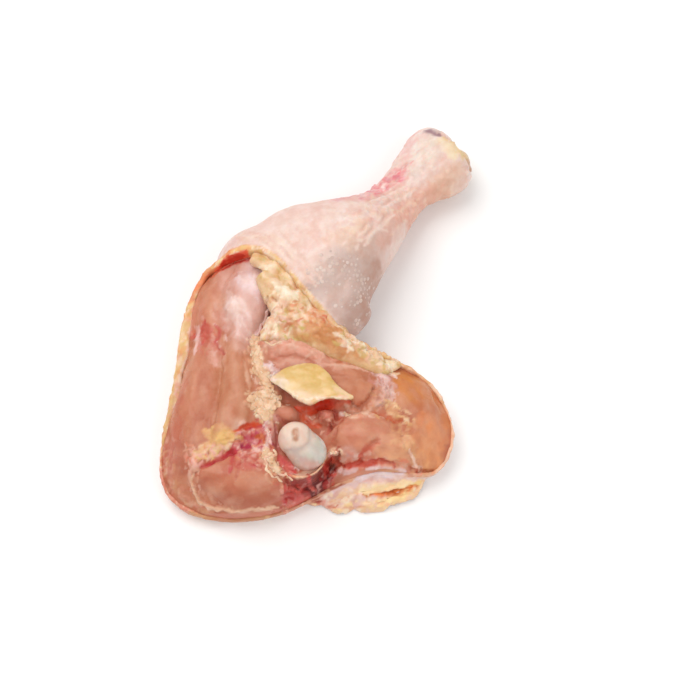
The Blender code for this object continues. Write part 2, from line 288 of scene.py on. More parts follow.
def places(made):
    """The object's points and their normals, in millimetres from the point below the hip ball."""
    points = np.empty(len(made.data.vertices) * 3)
    made.data.vertices.foreach_get("co", points)
    facing = np.empty(len(points))
    made.data.vertex_normals.foreach_get("vector", facing)
    return (points.reshape(-1, 3) - np.array(hip)) / MM, facing.reshape(-1, 3)


def move(made, points):
    made.data.vertices.foreach_set("co", (points * MM + np.array(hip)).ravel())
    made.data.update()


# The dish under the thigh: its outside rises from the flat underside like a quarter of an oval, its
# rim is round, and its inside follows at the skin's thickness.
AROUND = 480
rim_xy, rim_z, inward, rim_wall = rim_ring(AROUND)
rim_wall = rim_wall[:, 0]
rim_share = np.arange(AROUND) / AROUND * 2 * math.pi
rim_z = rim_z + 0.45 * np.sin(7 * rim_share + 1) + 0.35 * np.sin(16 * rim_share) + 0.2 * np.sin(37 * rim_share)
rim_wall = rim_wall * (1 + 0.12 * np.sin(11 * rim_share) + 0.1 * np.sin(29 * rim_share))
foot = 2 + 0.42 * rim_z


def dish_ring(inset, height):
    return np.column_stack([rim_xy + inward * inset[:, None], height])


dish = []
for turn in np.linspace(0, math.pi / 2, 16):
    dish.append(dish_ring(foot * (1 - math.sin(turn)), -1.5 + (rim_z + 1.5) * (1 - math.cos(turn))))
for turn in np.linspace(0, math.pi, 9)[1:-1]:
    dish.append(dish_ring(rim_wall * (1 - math.cos(turn)) / 2, rim_z + 0.6 * math.sin(turn)))
for turn in np.linspace(math.pi / 2, 0, 14):
    dish.append(dish_ring(rim_wall + foot * (1 - math.sin(turn)), SKIN + (rim_z - SKIN) * (1 - math.cos(turn))))
dish = skinned(np.array(dish))

# The sleeve round the drumstick, with the cut end of the skin turned in at the hock.
sleeve = sections(DRUMSTICK, 130, 96)
hock_end = sections(DRUMSTICK, 130, 96, less=2.2)[-1]
hock_axis = np.array((0.76, 0.64, 0))
sleeve = np.concatenate([sleeve, [hock_end, hock_end - 3.5 * hock_axis]])
drumstick = made_by("drumstick", [skinned(sleeve), ball(*KNEE)], remesh(1.0), soften(6))


def window_ring(inset, height):
    ring, rim, towards, _ = rim_ring(200)
    return np.column_stack([ring + towards * inset, height(rim)])


window = skinned(
    np.array(
        [
            window_ring(24, lambda rim: 0.3 * rim + 4),
            window_ring(1.3 * SKIN, lambda rim: rim - 3.5),
            window_ring(1.1 * SKIN, lambda rim: rim - 0.4),
            window_ring(0.9 * SKIN, lambda rim: 0 * rim + 80),
        ]
    )
)
knife = made_by("knife", [window])
cut = drumstick.modifiers.new("cut", "BOOLEAN")
cut.solver = "MANIFOLD"
cut.object = knife
bpy.context.view_layer.update()
opened = bpy.data.meshes.new_from_object(drumstick.evaluated_get(bpy.context.evaluated_depsgraph_get()))
bpy.data.objects.remove(drumstick)
bpy.data.objects.remove(knife)

# The torn flap: a sheet that slopes from under the meat to the table, with folds along its outer part.
FLAP_TOP = [(0, -17.5, 8), (14, -12.5, 11.5), (28, -8, 15.3), (40, -7, 15.3), (50, -7, 12.3), (55, -6.4, 10.4)]
FLAP_EDGE = [
    (3, -19.5, 2), (10, -21.0, 1.7), (17, -23.4, 1.7), (26, -22.8, 1.7), (35, -23.2, 1.7), (43, -19.6, 1.8),
    (48.5, -18.2, 1.9), (52.5, -14, 2.4), (55, -10.4, 3.4),
]
columns, rows = 110, 44
across = np.linspace(0, 1, columns)[:, None]
down = np.linspace(0, 1, rows)[None, :]
top_line = smooth_line(FLAP_TOP, across[:, 0])[:, None]
edge_line = smooth_line(FLAP_EDGE, across[:, 0])[:, None]
sheet = top_line + (edge_line - top_line) * down[..., None] ** np.array((1, 1, 0.8))


def pleat(where, wide, start, end):
    """A long pleat across the flap: 1 on its line, which runs from one share across to another."""
    return np.exp(-(((down - where) / wide) ** 2)) * step(start, start + 0.15, across) * step(end, end - 0.15, across)


sheet[..., 2] += 1.2 * pleat(0.40 + 0.05 * np.sin(8 * across), 0.08, -0.1, 0.8) - 0.7 * pleat(0.52 + 0.05 * np.sin(8 * across), 0.05, 0.1, 1.1)
sheet[..., 2] += 2.0 * pleat(0.66 + 0.05 * np.sin(7 * across + 1), 0.07, 0.2, 1.0) - 2.2 * pleat(0.77 + 0.04 * np.sin(6 * across), 0.05, 0.45, 1.0)
sheet[..., 2] += 1.5 * pleat(0.90 + 0.03 * np.sin(11 * across), 0.07, -0.1, 1.1)
sheet[..., 2] += 0.5 * np.sin(38 * across + 5 * down) * step(0.5, 1, down)
torn = noise(np.column_stack([across[:, 0] * 60, 0 * across[:, 0], 0 * across[:, 0]]), 3.4, 14)[:, None]
torn = torn + 0.7 * noise(np.column_stack([across[:, 0] * 60, 0 * across[:, 0] + 9, 0 * across[:, 0]]), 1.5, 15)[:, None]
sheet[..., 1] += 0.9 * torn * down**4
under = sheet.copy()
under[..., 2] = np.maximum(under[..., 2] - 2.8, -0.5)
sheet[..., 2] = np.maximum(sheet[..., 2], under[..., 2] + 2.0)
flap = skinned(np.concatenate([sheet, under[:, ::-1]], axis=1))

skin = made_by("leg_skin", [dish, opened, flap], remesh(0.8), soften(3))
points, facing = places(skin)

class Surface:
    """The points of a piece while it is painted and carved: its colours, its relief and where it may change."""

    def __init__(self, made, colour, where=1.0, seed=0):
        self.made = made
        self.points, self.facing = places(made)
        count = len(self.points)
        self.tint = np.tile(np.array(colour, float), (count, 1))
        self.relief = np.zeros(count)
        self.where = np.ones(count) * where
        self.drift = np.column_stack(
            [0.7 * noise(self.points, 3, seed + i) + 0.45 * noise(self.points, 1.3, seed + 2 + i) for i in (20, 21)]
        )

    def tone(self, share, colour):
        """Moves the colours towards another one, by a share at each point."""
        share = np.clip(share, 0, 1) * self.where
        self.tint += share[:, None] * (np.array(colour) - self.tint)

    def around(self, path, reach, among=None):
        """Which points lie near a line and may change."""
        points = self.points[:, :2] if among is None else self.points[among, :2]
        inside = ((points > path.min(0) - reach) & (points < path.max(0) + reach)).all(axis=1)
        inside = np.nonzero(inside)[0] if among is None else among[inside]
        return inside[self.where[inside] > 0]

    def stroke(self, line, wide, lift, colour, strength=0.9, soft=0.5, waver=1.0, among=None):
        """Colours and raises or sinks the surface along a line seen from above, with uneven edges."""
        path = np.array(line)[:, :2]
        inside = self.around(path, 2.2 * wide + 3, among)
        moved = self.points[inside]
        moved[:, :2] += waver * self.drift[inside]
        gap, share = near_line(moved, line)
        taper = np.clip(4 * share * (1 - share), 0.12, 1) ** 0.35 if len(line) > 2 else 1.0
        cover = step(1 + soft, 1 - soft, gap / (wide * taper)) * strength * self.where[inside]
        self.tint[inside] += cover[:, None] * (np.array(colour) - self.tint[inside])
        self.relief[inside] += lift * np.exp(-((gap / (0.8 * wide * taper)) ** 2)) * self.where[inside]

    def dabs(self, line, spread, count, sizes, colours, lift=0.0, strength=0.75, seed=1, loose=0.5):
        """Scatters short curved touches about a line, roughly along it, in colours taken in turn."""
        random = np.random.default_rng(seed)
        path = smooth_line(line, np.linspace(0, 1, 80))[:, :2]
        among = self.around(path, 1.5 * spread + 5)
        for i in range(count):
            at = random.integers(1, 79)
            ahead = path[at + 1] - path[at - 1]
            turn = math.atan2(ahead[1], ahead[0]) + loose * random.normal()
            middle = path[at] + 0.5 * spread * random.normal(size=2)
            half = random.uniform(*sizes)
            ahead = half * np.array((math.cos(turn), math.sin(turn)))
            bend = 0.5 * random.uniform(-1, 1) * np.array((-ahead[1], ahead[0]))
            self.stroke(
                [middle - ahead, middle + bend, middle + ahead], 0.45 * half, lift * random.uniform(0.3, 1),
                colours[i % len(colours)], strength * random.uniform(0.5, 1), 0.6, 0.6, among,
            )

    def done(self, lowest=0.0):
        """Moves the points by the relief and stores the colours for the material."""
        points = self.points + self.facing * self.relief[:, None]
        points[:, 2] = np.maximum(points[:, 2], lowest)
        move(self.made, points)
        colours = np.column_stack([np.clip(self.tint, 0, 1), np.ones(len(points))]).astype(np.float32)
        self.made.data.color_attributes.new("tint", "FLOAT_COLOR", "POINT").data.foreach_set("color", colours.ravel())


# The outside of the skin: broad lumps, folds along the shank, creases where it was pulled over the calf.
paint = Surface(skin, (0.80, 0.615, 0.555))
points, facing = paint.points, paint.facing
depth, rim_height = inside_rim(points)
axis_gap, axis_share = near_line(points, DRUMSTICK)
outside = step(0.3, -0.8, depth)
on_leg = outside * step(0.12, 0.25, axis_share)
shank = outside * step(0.38, 0.52, axis_share) * step(0.98, 0.8, axis_share)
paint.tone(step(-0.35, 0.45, noise(points, 16, 30)) * 0.7, (0.83, 0.655, 0.59))
paint.tone(step(0.0, 0.6, noise(points, 6, 31)) * 0.5, (0.85, 0.71, 0.65))
paint.tone(step(0.1, 0.6, noise(points, 9, 32)) * 0.4, (0.80, 0.55, 0.49))
paint.relief += 0.35 * noise(points, 13, 1) + 0.18 * noise(points, 5.5, 2)
lengthwise = np.column_stack([points @ (0.64, -0.76, 0), points[:, 2], 0.16 * (points @ (0.76, 0.64, 0))])
folds = 1 - 2 * np.abs(noise(lengthwise, 3.4, 3))
paint.relief += shank * (0.5 * folds + 0.42 * noise(points, 3.0, 4))
# The hollows of the shank's folds are painted darker, as shade.
paint.tone(shank * step(0.2, -0.6, folds) * 0.5, (0.76, 0.42, 0.35))
paint.relief += on_leg * (0.14 * noise(points, 2.4, 5) + 0.05 * noise(points, 1.3, 6))
paint.tone(on_leg * step(0.1, 0.7, noise(points, 2.0, 33)) * 0.3, (0.86, 0.74, 0.69))
paint.tone(on_leg * step(0.2, 0.8, noise(points, 1.6, 34)) * 0.3, (0.76, 0.50, 0.44))

# Flushed, bluish and golden places, and painted shade on the lower and right sides of the calf.
paint.where = outside
for line, wide, colour, strength in (
    ([(-25, 98), (-8, 106), (8, 110), (22, 114)], 5, (0.79, 0.54, 0.48), 0.6),
    ([(5, 67), (12, 70), (20, 76), (27, 82), (29, 72), (27, 62), (21, 55)], 8.5, (0.57, 0.42, 0.37), 0.92),
    # Painted shade: darker where the calf turns from the light, along its right side and the bottom of the bluish
    # patch.
    ([(26, 84), (33, 90), (37, 96)], 5, (0.62, 0.42, 0.35), 0.7),
    ([(14, 60), (21, 60), (28, 62)], 6, (0.50, 0.34, 0.29), 0.6),
    ([(34, 82), (32, 71), (29, 58)], 4.0, (0.47, 0.25, 0.18), 0.6),
    ([(36, 92), (40, 102), (47, 110)], 3.5, (0.72, 0.42, 0.34), 0.6),
    ([(20, 93), (27, 95), (30, 100)], 3.0, (0.80, 0.56, 0.38), 0.6),
    ([(14, 90), (22, 88)], 3.5, (0.82, 0.60, 0.46), 0.5),
    ([(14, 112), (19, 115), (26, 118), (33, 122)], 3.2, (0.78, 0.40, 0.38), 0.75),
    ([(22, 114), (28, 114), (33, 116)], 2.4, (0.80, 0.46, 0.40), 0.6),
    ([(29, 120), (36, 125), (41, 129), (47, 134)], 4.2, (0.80, 0.33, 0.34), 0.85),
    ([(34, 119), (40, 122), (45, 126)], 2.6, (0.82, 0.42, 0.38), 0.75),
    ([(38, 124), (43, 128)], 1.5, (0.74, 0.24, 0.26), 0.7),
    ([(32, 117), (36, 120)], 1.4, (0.74, 0.28, 0.28), 0.6),
    ([(42, 106), (48, 113), (56, 120), (66, 126)], 4.0, (0.80, 0.45, 0.34), 0.75),
    ([(44, 112), (52, 119)], 1.6, (0.80, 0.36, 0.28), 0.5),
    ([(48, 141), (49, 148), (53, 155)], 3.0, (0.82, 0.52, 0.50), 0.7),
    ([(52, 134), (57, 141), (60, 146)], 6.0, (0.76, 0.67, 0.58), 0.85),
    ([(50, 131), (54, 133)], 2.2, (0.66, 0.48, 0.44), 0.5),
    ([(52, 151), (57, 154.6), (62, 156)], 3.0, (0.86, 0.70, 0.66), 0.8),
    ([(56.5, 154), (60, 152.4), (63, 150)], 1.8, (0.34, 0.20, 0.23), 0.95),
    ([(65, 149), (70, 145), (74, 140)], 2.8, (0.80, 0.60, 0.28), 0.95),
    ([(62, 147), (67, 143), (70, 138)], 2.2, (0.86, 0.72, 0.50), 0.8),
    ([(58, 124), (66, 129), (73, 135)], 4.5, (0.74, 0.47, 0.34), 0.75),
    ([(48, 117), (54, 122), (60, 126)], 3, (0.78, 0.42, 0.32), 0.6),
    ([(51, 133), (53, 140), (55, 148)], 3.0, (0.85, 0.76, 0.70), 0.7),
    ([(-28, 92), (-20, 93), (-12, 88), (-4, 78)], 1.6, (0.84, 0.64, 0.54), 0.5),
    ([(-42, 88), (-34, 92), (-26, 94)], 2.6, (0.74, 0.52, 0.50), 0.5),
):
    paint.stroke(line, wide, 0, colour, strength, 0.8, 2.0)
# The rough red grain where the shank narrows, and the crinkled skin below it.
for line, spread, count, sizes, colours, lift, strength, seed in (
    ([(28, 118), (35, 123), (41, 127), (47, 133)], 5.5, 170, (0.7, 1.6),
     [(0.86, 0.58, 0.56), (0.80, 0.22, 0.26), (0.86, 0.46, 0.46), (0.70, 0.24, 0.30), (0.90, 0.74, 0.70)], 0.35, 0.85, 41),
    ([(11, 111), (18, 114), (26, 117), (31, 119)], 3.2, 50, (0.7, 1.6),
     [(0.80, 0.42, 0.42), (0.86, 0.66, 0.62), (0.74, 0.40, 0.44)], 0.22, 0.6, 42),
    ([(22, 94), (31, 104), (40, 114), (47, 122)], 7, 120, (1.0, 2.4),
     [(0.88, 0.74, 0.66), (0.80, 0.46, 0.38), (0.86, 0.66, 0.52), (0.76, 0.50, 0.46), (0.84, 0.58, 0.46)], 0.35, 0.6, 43),
    ([(40, 104), (48, 113), (58, 122), (68, 129)], 5, 60, (0.8, 1.8),
     [(0.82, 0.50, 0.38), (0.86, 0.66, 0.52), (0.76, 0.38, 0.30)], 0.25, 0.6, 44),
    ([(48, 130), (54, 137), (60, 144)], 8, 60, (0.8, 1.8),
     [(0.88, 0.78, 0.70), (0.84, 0.62, 0.54), (0.80, 0.54, 0.50)], 0.2, 0.55, 45),
    ([(-28, 93), (-16, 92), (-4, 82), (4, 70)], 4, 50, (1.2, 2.8),
     [(0.87, 0.72, 0.62), (0.78, 0.50, 0.42), (0.84, 0.64, 0.52)], 0.25, 0.55, 46),
    ([(0, 80), (10, 92), (16, 104)], 16, 90, (0.9, 2.2),
     [(0.86, 0.74, 0.68), (0.80, 0.56, 0.50), (0.84, 0.66, 0.60)], 0.12, 0.4, 47),
):
    paint.dabs(line, spread, count, sizes, colours, lift, strength, seed)
# Creases: each is sunk along its line with painted shade, and beside it a raised ridge is painted lighter as a
# highlight.
for crease, wide, deep in (
    ([(-20, 92), (-13, 86.6), (-6, 78), (0, 72)], 0.7, 0.6),
    ([(-16, 94), (-7.5, 85), (-0.5, 76), (6, 68)], 0.8, 0.7),
    ([(-10, 95), (-3, 86), (3, 78), (9, 70)], 0.8, 0.5),
    ([(18, 94), (24, 91.5), (29, 99)], 0.9, 0.4),
    ([(24, 90), (30, 94), (33, 101)], 0.8, 0.3),
    ([(27, 88), (33, 98), (40, 108)], 0.9, 0.3),
    ([(30, 112), (36, 118), (44, 124), (50, 131)], 0.8, 0.4),
    ([(36, 110), (42, 117), (50, 124)], 0.8, 0.4),
    ([(64, 151), (68, 148.5), (70, 147)], 1.2, 1.6),
    ([(74, 135), (77, 137), (79, 138)], 0.8, 0.6),
):
    for side, lift, colour, strength in ((-1.5, 0.7, (0.87, 0.73, 0.65), 0.55), (0, -1, (0.76, 0.50, 0.42), 0.55)):
        shifted = [(x - 0.7 * side, y + 0.7 * side) for x, y in crease]
        paint.stroke(shifted, wide, lift * deep, colour, strength, 0.6, 0.8)

# The fatty inner side and the cut edge, from the yellow band in front to the thin red rim at the hip.
inner = step(-0.1, 0.5, depth) * step(-1.6, -0.3, points[:, 2] - rim_height)
over_flap = step(0.3, -0.5, depth) * step(-4.5, -6, points[:, 1]) * step(-2, 1, points[:, 0]) * step(-0.1, 0.15, facing[:, 2])
# The outer wall keeps the colour of skin below a narrow band, which is deeper along the hip.
middleward = THIGH_MIDDLE - points[:, :2]
outward = -(facing[:, :2] * middleward).sum(axis=1) / np.linalg.norm(middleward, axis=1)
band = 1.2 + 0.8 * noise(points, 5, 35) + 4 * step(-4, -16, points[:, 1])
cut_side = np.maximum(step(0.1, -0.3, outward), step(-band - 1, -band, points[:, 2] - rim_height))
paint.where = np.maximum(step(-0.6, 0.3, depth) * cut_side, np.clip(over_flap, 0, 1))
paint.tone(np.ones(len(points)), (0.76, 0.42, 0.26))
ragged = step(-3, -0.5, depth) * step(4, 2, depth) * step(-5, -1.5, points[:, 2] - rim_height)
paint.relief += ragged * (0.45 * noise(points, 3.3, 12) + 0.32 * noise(points, 1.7, 13))
edge = smooth_line(RIM, np.linspace(0, 1, 28), closed=True)
for start, end, wide, colour, strength in (
    (0, 3, 5, (0.76, 0.36, 0.17), 0.9), (2, 4, 4, (0.72, 0.30, 0.17), 0.8), (3, 6.6, 6.5, (0.72, 0.48, 0.23), 0.95),
    (6, 8, 3, (0.70, 0.30, 0.20), 0.8), (7, 10, 3, (0.66, 0.24, 0.17), 0.85), (9, 11.5, 3, (0.66, 0.36, 0.18), 0.85),
    (11, 13, 3, (0.52, 0.18, 0.10), 0.7), (16, 20, 2.5, (0.82, 0.42, 0.25), 0.85), (19, 22, 3, (0.70, 0.40, 0.20), 0.85),
    (21, 24, 3.6, (0.72, 0.42, 0.21), 0.85), (23, 26, 3.6, (0.80, 0.52, 0.28), 0.85), (25, 27, 4, (0.82, 0.50, 0.26), 0.85),
):
    part = smooth_line(RIM, np.linspace(start, end, 12) / 27, closed=True)[:, :2]
    paint.stroke([tuple(spot) for spot in part], wide, 0, colour, strength, 0.6, 1.0)
for line, wide, colour, strength in (
    ([(-49, 62), (-50, 54), (-51, 44), (-53.5, 34), (-56, 22), (-58.5, 10)], 0.9, (0.90, 0.66, 0.58), 0.85),
    ([(-53, 60), (-55, 48), (-57, 36)], 1.2, (0.84, 0.62, 0.34), 0.6),
    ([(-24, 87), (-17, 86.5), (-12, 81), (-5, 73)], 1.3, (0.86, 0.60, 0.34), 0.7),
    ([(-34, 86), (-28, 87), (-22, 86.5)], 1.3, (0.84, 0.42, 0.18), 0.8),
    ([(-47, 77), (-42, 80), (-36, 84)], 1.3, (0.80, 0.24, 0.10), 0.85),
    # The dark red slit between the rim and the meat at the knee: blood, darkened further as painted shade.
    ([(-39, 82), (-34, 84.6), (-29, 85.6), (-24, 86)], 0.8, (0.66, 0.05, 0.02), 0.95),
    # The slit under the lip of the hip socket, painted dark as shade.
    ([(4, -19.5), (12, -16.6), (20, -13)], 1.0, (0.36, 0.06, 0.03), 0.7),
    ([(-12, 79), (-8, 74)], 1.3, (0.62, 0.42, 0.16), 0.5),
    ([(8, 61), (2, 67)], 1.3, (0.84, 0.60, 0.36), 0.6),
    ([(30, 44.5), (38, 41), (45, 38.5)], 1.3, (0.82, 0.54, 0.32), 0.6),
    ([(66, 0), (67, 6), (67.5, 12)], 0.7, (0.88, 0.54, 0.38), 0.7),
    ([(-61.5, 4), (-62, -4), (-60, -12)], 0.6, (0.80, 0.40, 0.32), 0.6),
):
    paint.stroke(line, wide, 0.1, colour, strength, 0.5, 1.0)
YELLOW, AMBER, ROSE, PALE = (0.82, 0.58, 0.26), (0.78, 0.36, 0.14), (0.80, 0.36, 0.28), (0.90, 0.72, 0.54)
for start, end, spread, count, sizes, colours, lift, strength, seed in (
    (0, 3.2, 2.2, 80, (0.7, 2.0), (PALE, (0.84, 0.30, 0.12), YELLOW, (0.80, 0.40, 0.18)), 0.3, 0.85, 51),
    (2.5, 7, 3.0, 130, (0.7, 2.4), (PALE, AMBER, YELLOW, (0.66, 0.42, 0.15), ROSE), 0.3, 0.7, 52),
    (6.5, 12, 1.8, 120, (0.6, 1.8), (ROSE, PALE, (0.66, 0.26, 0.18), (0.70, 0.50, 0.20), (0.84, 0.46, 0.34)), 0.3, 0.8, 53),
    (11, 16, 1.6, 70, (0.6, 1.6), ((0.60, 0.14, 0.08), ROSE, (0.84, 0.52, 0.34)), 0.3, 0.8, 54),
    (15.5, 22, 1.4, 110, (0.6, 1.8), (PALE, (0.84, 0.46, 0.26), (0.72, 0.34, 0.16)), 0.2, 0.7, 55),
    (21, 27, 2.8, 170, (0.7, 2.0), (PALE, YELLOW, (0.62, 0.36, 0.12), (0.80, 0.42, 0.24), (0.88, 0.68, 0.58)), 0.35, 0.8, 56),
):
    part = smooth_line(RIM, np.linspace(start, end, 14) / 27, closed=True)[:, :2]
    part = part + 0.04 * (THIGH_MIDDLE - part) * (1 if start < 20 else 0.6)
    paint.dabs([tuple(spot) for spot in part], spread, count, sizes, colours, lift, strength, seed)
for line, wide, lift, colour, strength in (
    # The slit at the knee again, orange to dark red, darkest in its depth as painted shade.
    ([(-48, 75.5), (-44, 79), (-40, 81.4)], 1.2, -0.2, (0.84, 0.28, 0.12), 0.9),
    ([(-42.5, 79), (-38, 82), (-34, 83.8), (-29, 85), (-23.5, 85.4)], 1.3, -0.6, (0.86, 0.11, 0.055), 0.95),
    ([(-36, 83.6), (-31, 84.8), (-26, 85.2)], 0.9, -0.2, (0.56, 0.025, 0.012), 0.85),
    ([(67.6, 4), (68.3, 11), (65, 21), (58, 31)], 0.9, 0.1, (0.90, 0.62, 0.46), 0.9),
    ([(60, -7), (65, -1), (67.5, 5)], 0.8, 0.1, (0.88, 0.58, 0.42), 0.9),
    ([(24, -12.6), (30, -9.8), (37, -8.8), (45, -9.2)], 1.9, 0.1, (0.86, 0.72, 0.76), 0.85),
    # Painted shade along the bottom of the rim at the hip.
    ([(-42, -28), (-30, -29), (-16, -28)], 1.3, 0, (0.50, 0.18, 0.09), 0.6),
):
    paint.stroke(line, wide, lift, colour, strength, 0.4, 0.8)
# The flap: pale film above, yellow and orange fat below, a red fold and a light torn edge.
paint.where = np.clip(over_flap, 0, 1)
for line, wide, lift, colour, strength in (
    ([(0, -17), (16, -19), (32, -18), (48, -15), (60, -10)], 9, 0, (0.94, 0.66, 0.40), 0.95),
    ([(6, -17), (16, -14.5), (27, -11), (38, -9.5), (50, -9.5)], 3.8, 0, (0.76, 0.50, 0.47), 0.9),
    ([(22, -9), (32, -8), (42, -8)], 2.4, 0.1, (0.84, 0.64, 0.63), 0.85),
    ([(9, -17), (15, -15), (20, -13)], 1.8, 0.1, (0.74, 0.44, 0.42), 0.6),
    ([(28, -12.5), (36, -10.5), (45, -10)], 1.4, 0.1, (0.86, 0.66, 0.62), 0.6),
    ([(14, -18.5), (24, -15.5), (34, -13.5), (44, -12.5), (53, -11)], 1.6, 0.2, (0.90, 0.62, 0.38), 0.8),
    ([(8, -20), (18, -20), (28, -18), (36, -17)], 2.0, 0.1, (0.82, 0.44, 0.30), 0.8),
    ([(22, -19.5), (30, -18.5), (37, -18)], 1.4, 0, (0.76, 0.50, 0.46), 0.6),
    ([(27, -17.6), (33, -16.9), (39.5, -16.2), (45.1, -15.1), (52, -12.6)], 1.2, -0.9, (0.70, 0.22, 0.05), 0.95),
    ([(33, -15.4), (40, -14.6), (47, -13.2), (53, -11)], 1.0, 0.2, (0.88, 0.62, 0.24), 0.85),
    ([(36, -18.6), (43, -17.4), (50, -14.6)], 1.2, 0.3, (0.90, 0.68, 0.34), 0.85),
    ([(30, -20), (38, -19), (46, -17), (52, -14)], 1.7, 0.3, (0.92, 0.62, 0.38), 0.75),
    ([(10, -22), (17, -23.8), (27, -22.8), (36, -22.8), (44, -19.5)], 1.2, 0.2, (0.84, 0.58, 0.36), 0.8),
    ([(19, -22.5), (26, -21), (33, -21.5)], 1.0, -0.2, (0.66, 0.28, 0.18), 0.6),
    # Dark red at the slit under the lip, blood with painted shade.
    ([(4, -19.5), (8, -19), (12, -19.5)], 1.2, -0.3, (0.60, 0.16, 0.10), 0.7),
    ([(12, -21.5), (16, -22), (20, -21)], 0.9, 0.1, (0.80, 0.40, 0.32), 0.6),
    ([(54, -10), (57, -8.5), (60, -7)], 1.0, 0.1, (0.90, 0.58, 0.36), 0.7),
):
    paint.stroke(line, wide, lift, colour, strength, 0.5, 1.4)
for line, spread, count, sizes, colours, lift, seed in (
    ([(8, -18), (20, -14.5), (34, -12), (48, -11)], 3, 70, (0.9, 2.2), ((0.80, 0.60, 0.58), (0.90, 0.70, 0.62), (0.74, 0.44, 0.38)), 0.25, 57),
    ([(8, -21), (18, -21.5), (28, -20.5), (38, -19.5), (48, -16)], 4, 110, (0.8, 2.0),
     ((0.96, 0.82, 0.64), (0.94, 0.70, 0.34), (0.90, 0.52, 0.30), (0.95, 0.74, 0.46), (0.82, 0.56, 0.52)), 0.35, 58),
    ([(3, -19), (9, -20.5), (16, -22)], 2.4, 40, (0.7, 1.5), ((0.62, 0.12, 0.07), ROSE, (0.86, 0.60, 0.50)), 0.3, 59),
):
    paint.dabs(line, spread, count, sizes, colours, lift, 0.75, seed)
for line, wide, lift, colour, strength in (
    # The fold in the flap: orange fat, darkest in its hollow as painted shade.
    ([(31, -17.3), (36, -16.8), (42, -15.8), (47, -14.4), (51, -12.6)], 0.75, -0.4, (0.84, 0.22, 0.05), 0.97),
    ([(34, -16.8), (40, -16), (46, -14.5)], 0.5, -0.3, (0.46, 0.09, 0.02), 0.85),
    # Cream fat on the ridges either side of the fold, lightened as painted highlights.
    ([(26, -16), (33, -14.8), (41, -13.6), (49, -11.6)], 1.7, 0.3, (1.0, 0.78, 0.46), 0.85),
    ([(34, -19.2), (42, -17.8), (49, -15)], 1.1, 0.4, (0.96, 0.74, 0.38), 0.85),
    # The slit at the top of the flap, painted dark as shade.
    ([(0, -19.4), (5, -19.6), (10, -19.2)], 0.8, -0.5, (0.44, 0.05, 0.03), 0.9),
    ([(26, -10.6), (34, -9.2), (42, -9.4)], 1.2, 0.2, (0.90, 0.78, 0.82), 0.85),
    ([(12, -16), (18, -13.6), (24, -11.4)], 1.2, 0.1, (0.80, 0.60, 0.62), 0.6),
):
    paint.stroke(line, wide, lift, colour, strength, 0.45, 1.0)
paint.where = step(1.0, 3, points[:, 2])
paint.tone(np.zeros(len(points)), (0, 0, 0))
paint.relief *= step(1.5, 4, points[:, 2]) * np.maximum(step(2.5, 0, depth), over_flap)
paint.done()
skin.data.attributes.new("pores", "FLOAT", "POINT").data.foreach_set(
    "value",
    (
        on_leg * step(0.60, 0.42, axis_share) * step(-0.1, 0.3, facing[:, 2])
        * step(11, 4, near_line(points, [(5, 68), (11, 72), (19, 74), (24, 68), (23, 60)])[0])
    ).astype(np.float32),
)


def add(tree, kind, settings=(), **inputs):
    """A node with its settings and inputs. An input is a value or another node's output."""
    made = tree.nodes.new(kind)
    for setting, value in dict(settings).items():
        setattr(made, setting, value)
    for name, value in inputs.items():
        socket = made.inputs[int(name[1:])] if name[1:].isdigit() else made.inputs[name.replace("_", " ")]
        if isinstance(value, bpy.types.NodeSocket):
            tree.links.new(value, socket)
        else:
            socket.default_value = value
    return made


# The moist surface that every raw piece shares: fine mottling, a pebbled relief and patchy wetness.
moist = bpy.data.node_groups.new("moist surface", "ShaderNodeTree")
for name, kind, value in (
    ("Tint", "NodeSocketColor", (0.8, 0.5, 0.4, 1)),
    ("Shade", "NodeSocketColor", (0.9, 0.8, 0.76, 1)),
    ("Grain", "NodeSocketFloat", 700.0),
    ("Relief", "NodeSocketFloat", 0.3),
    ("Driest", "NodeSocketFloat", 0.5),
    ("Wettest", "NodeSocketFloat", 0.25),
):
    moist.interface.new_socket(name=name, in_out="INPUT", socket_type=kind).default_value = value
for name, kind in (("Color", "NodeSocketColor"), ("Roughness", "NodeSocketFloat"), ("Normal", "NodeSocketVector")):
    moist.interface.new_socket(name=name, in_out="OUTPUT", socket_type=kind)
given = moist.nodes.new("NodeGroupInput").outputs
taken = moist.nodes.new("NodeGroupOutput").inputs
here = add(moist, "ShaderNodeTexCoord").outputs["Object"]
mottle = add(moist, "ShaderNodeTexNoise", Vector=here, Scale=190.0, Detail=4.0, Roughness=0.6).outputs["Fac"]
mottle = add(moist, "ShaderNodeMapRange", Value=mottle, From_Min=0.35, From_Max=0.62).outputs["Result"]
shaded = add(moist, "ShaderNodeMix", {"data_type": "RGBA", "blend_type": "MULTIPLY"})
for value, socket in ((mottle, 0), (given["Tint"], 6), (given["Shade"], 7)):
    moist.links.new(value, shaded.inputs[socket])
pebble = add(moist, "ShaderNodeTexVoronoi", {"feature": "SMOOTH_F1"}, Vector=here, Scale=given["Grain"]).outputs["Distance"]
fine = add(moist, "ShaderNodeTexNoise", Vector=here, Scale=1100.0, Detail=3.0).outputs["Fac"]
height = add(moist, "ShaderNodeMath", {"operation": "ADD"}, _0=pebble, _1=fine).outputs[0]
bump = add(moist, "ShaderNodeBump", Strength=given["Relief"], Distance=0.0004, Height=height).outputs["Normal"]
wet = add(moist, "ShaderNodeTexNoise", Vector=here, Scale=75.0, Detail=2.0).outputs["Fac"]
rough = add(moist, "ShaderNodeMapRange", Value=wet, From_Min=0.35, From_Max=0.65, To_Min=given["Wettest"], To_Max=given["Driest"])
moist.links.new(shaded.outputs[2], taken["Color"])
moist.links.new(rough.outputs["Result"], taken["Roughness"])
moist.links.new(bump, taken["Normal"])


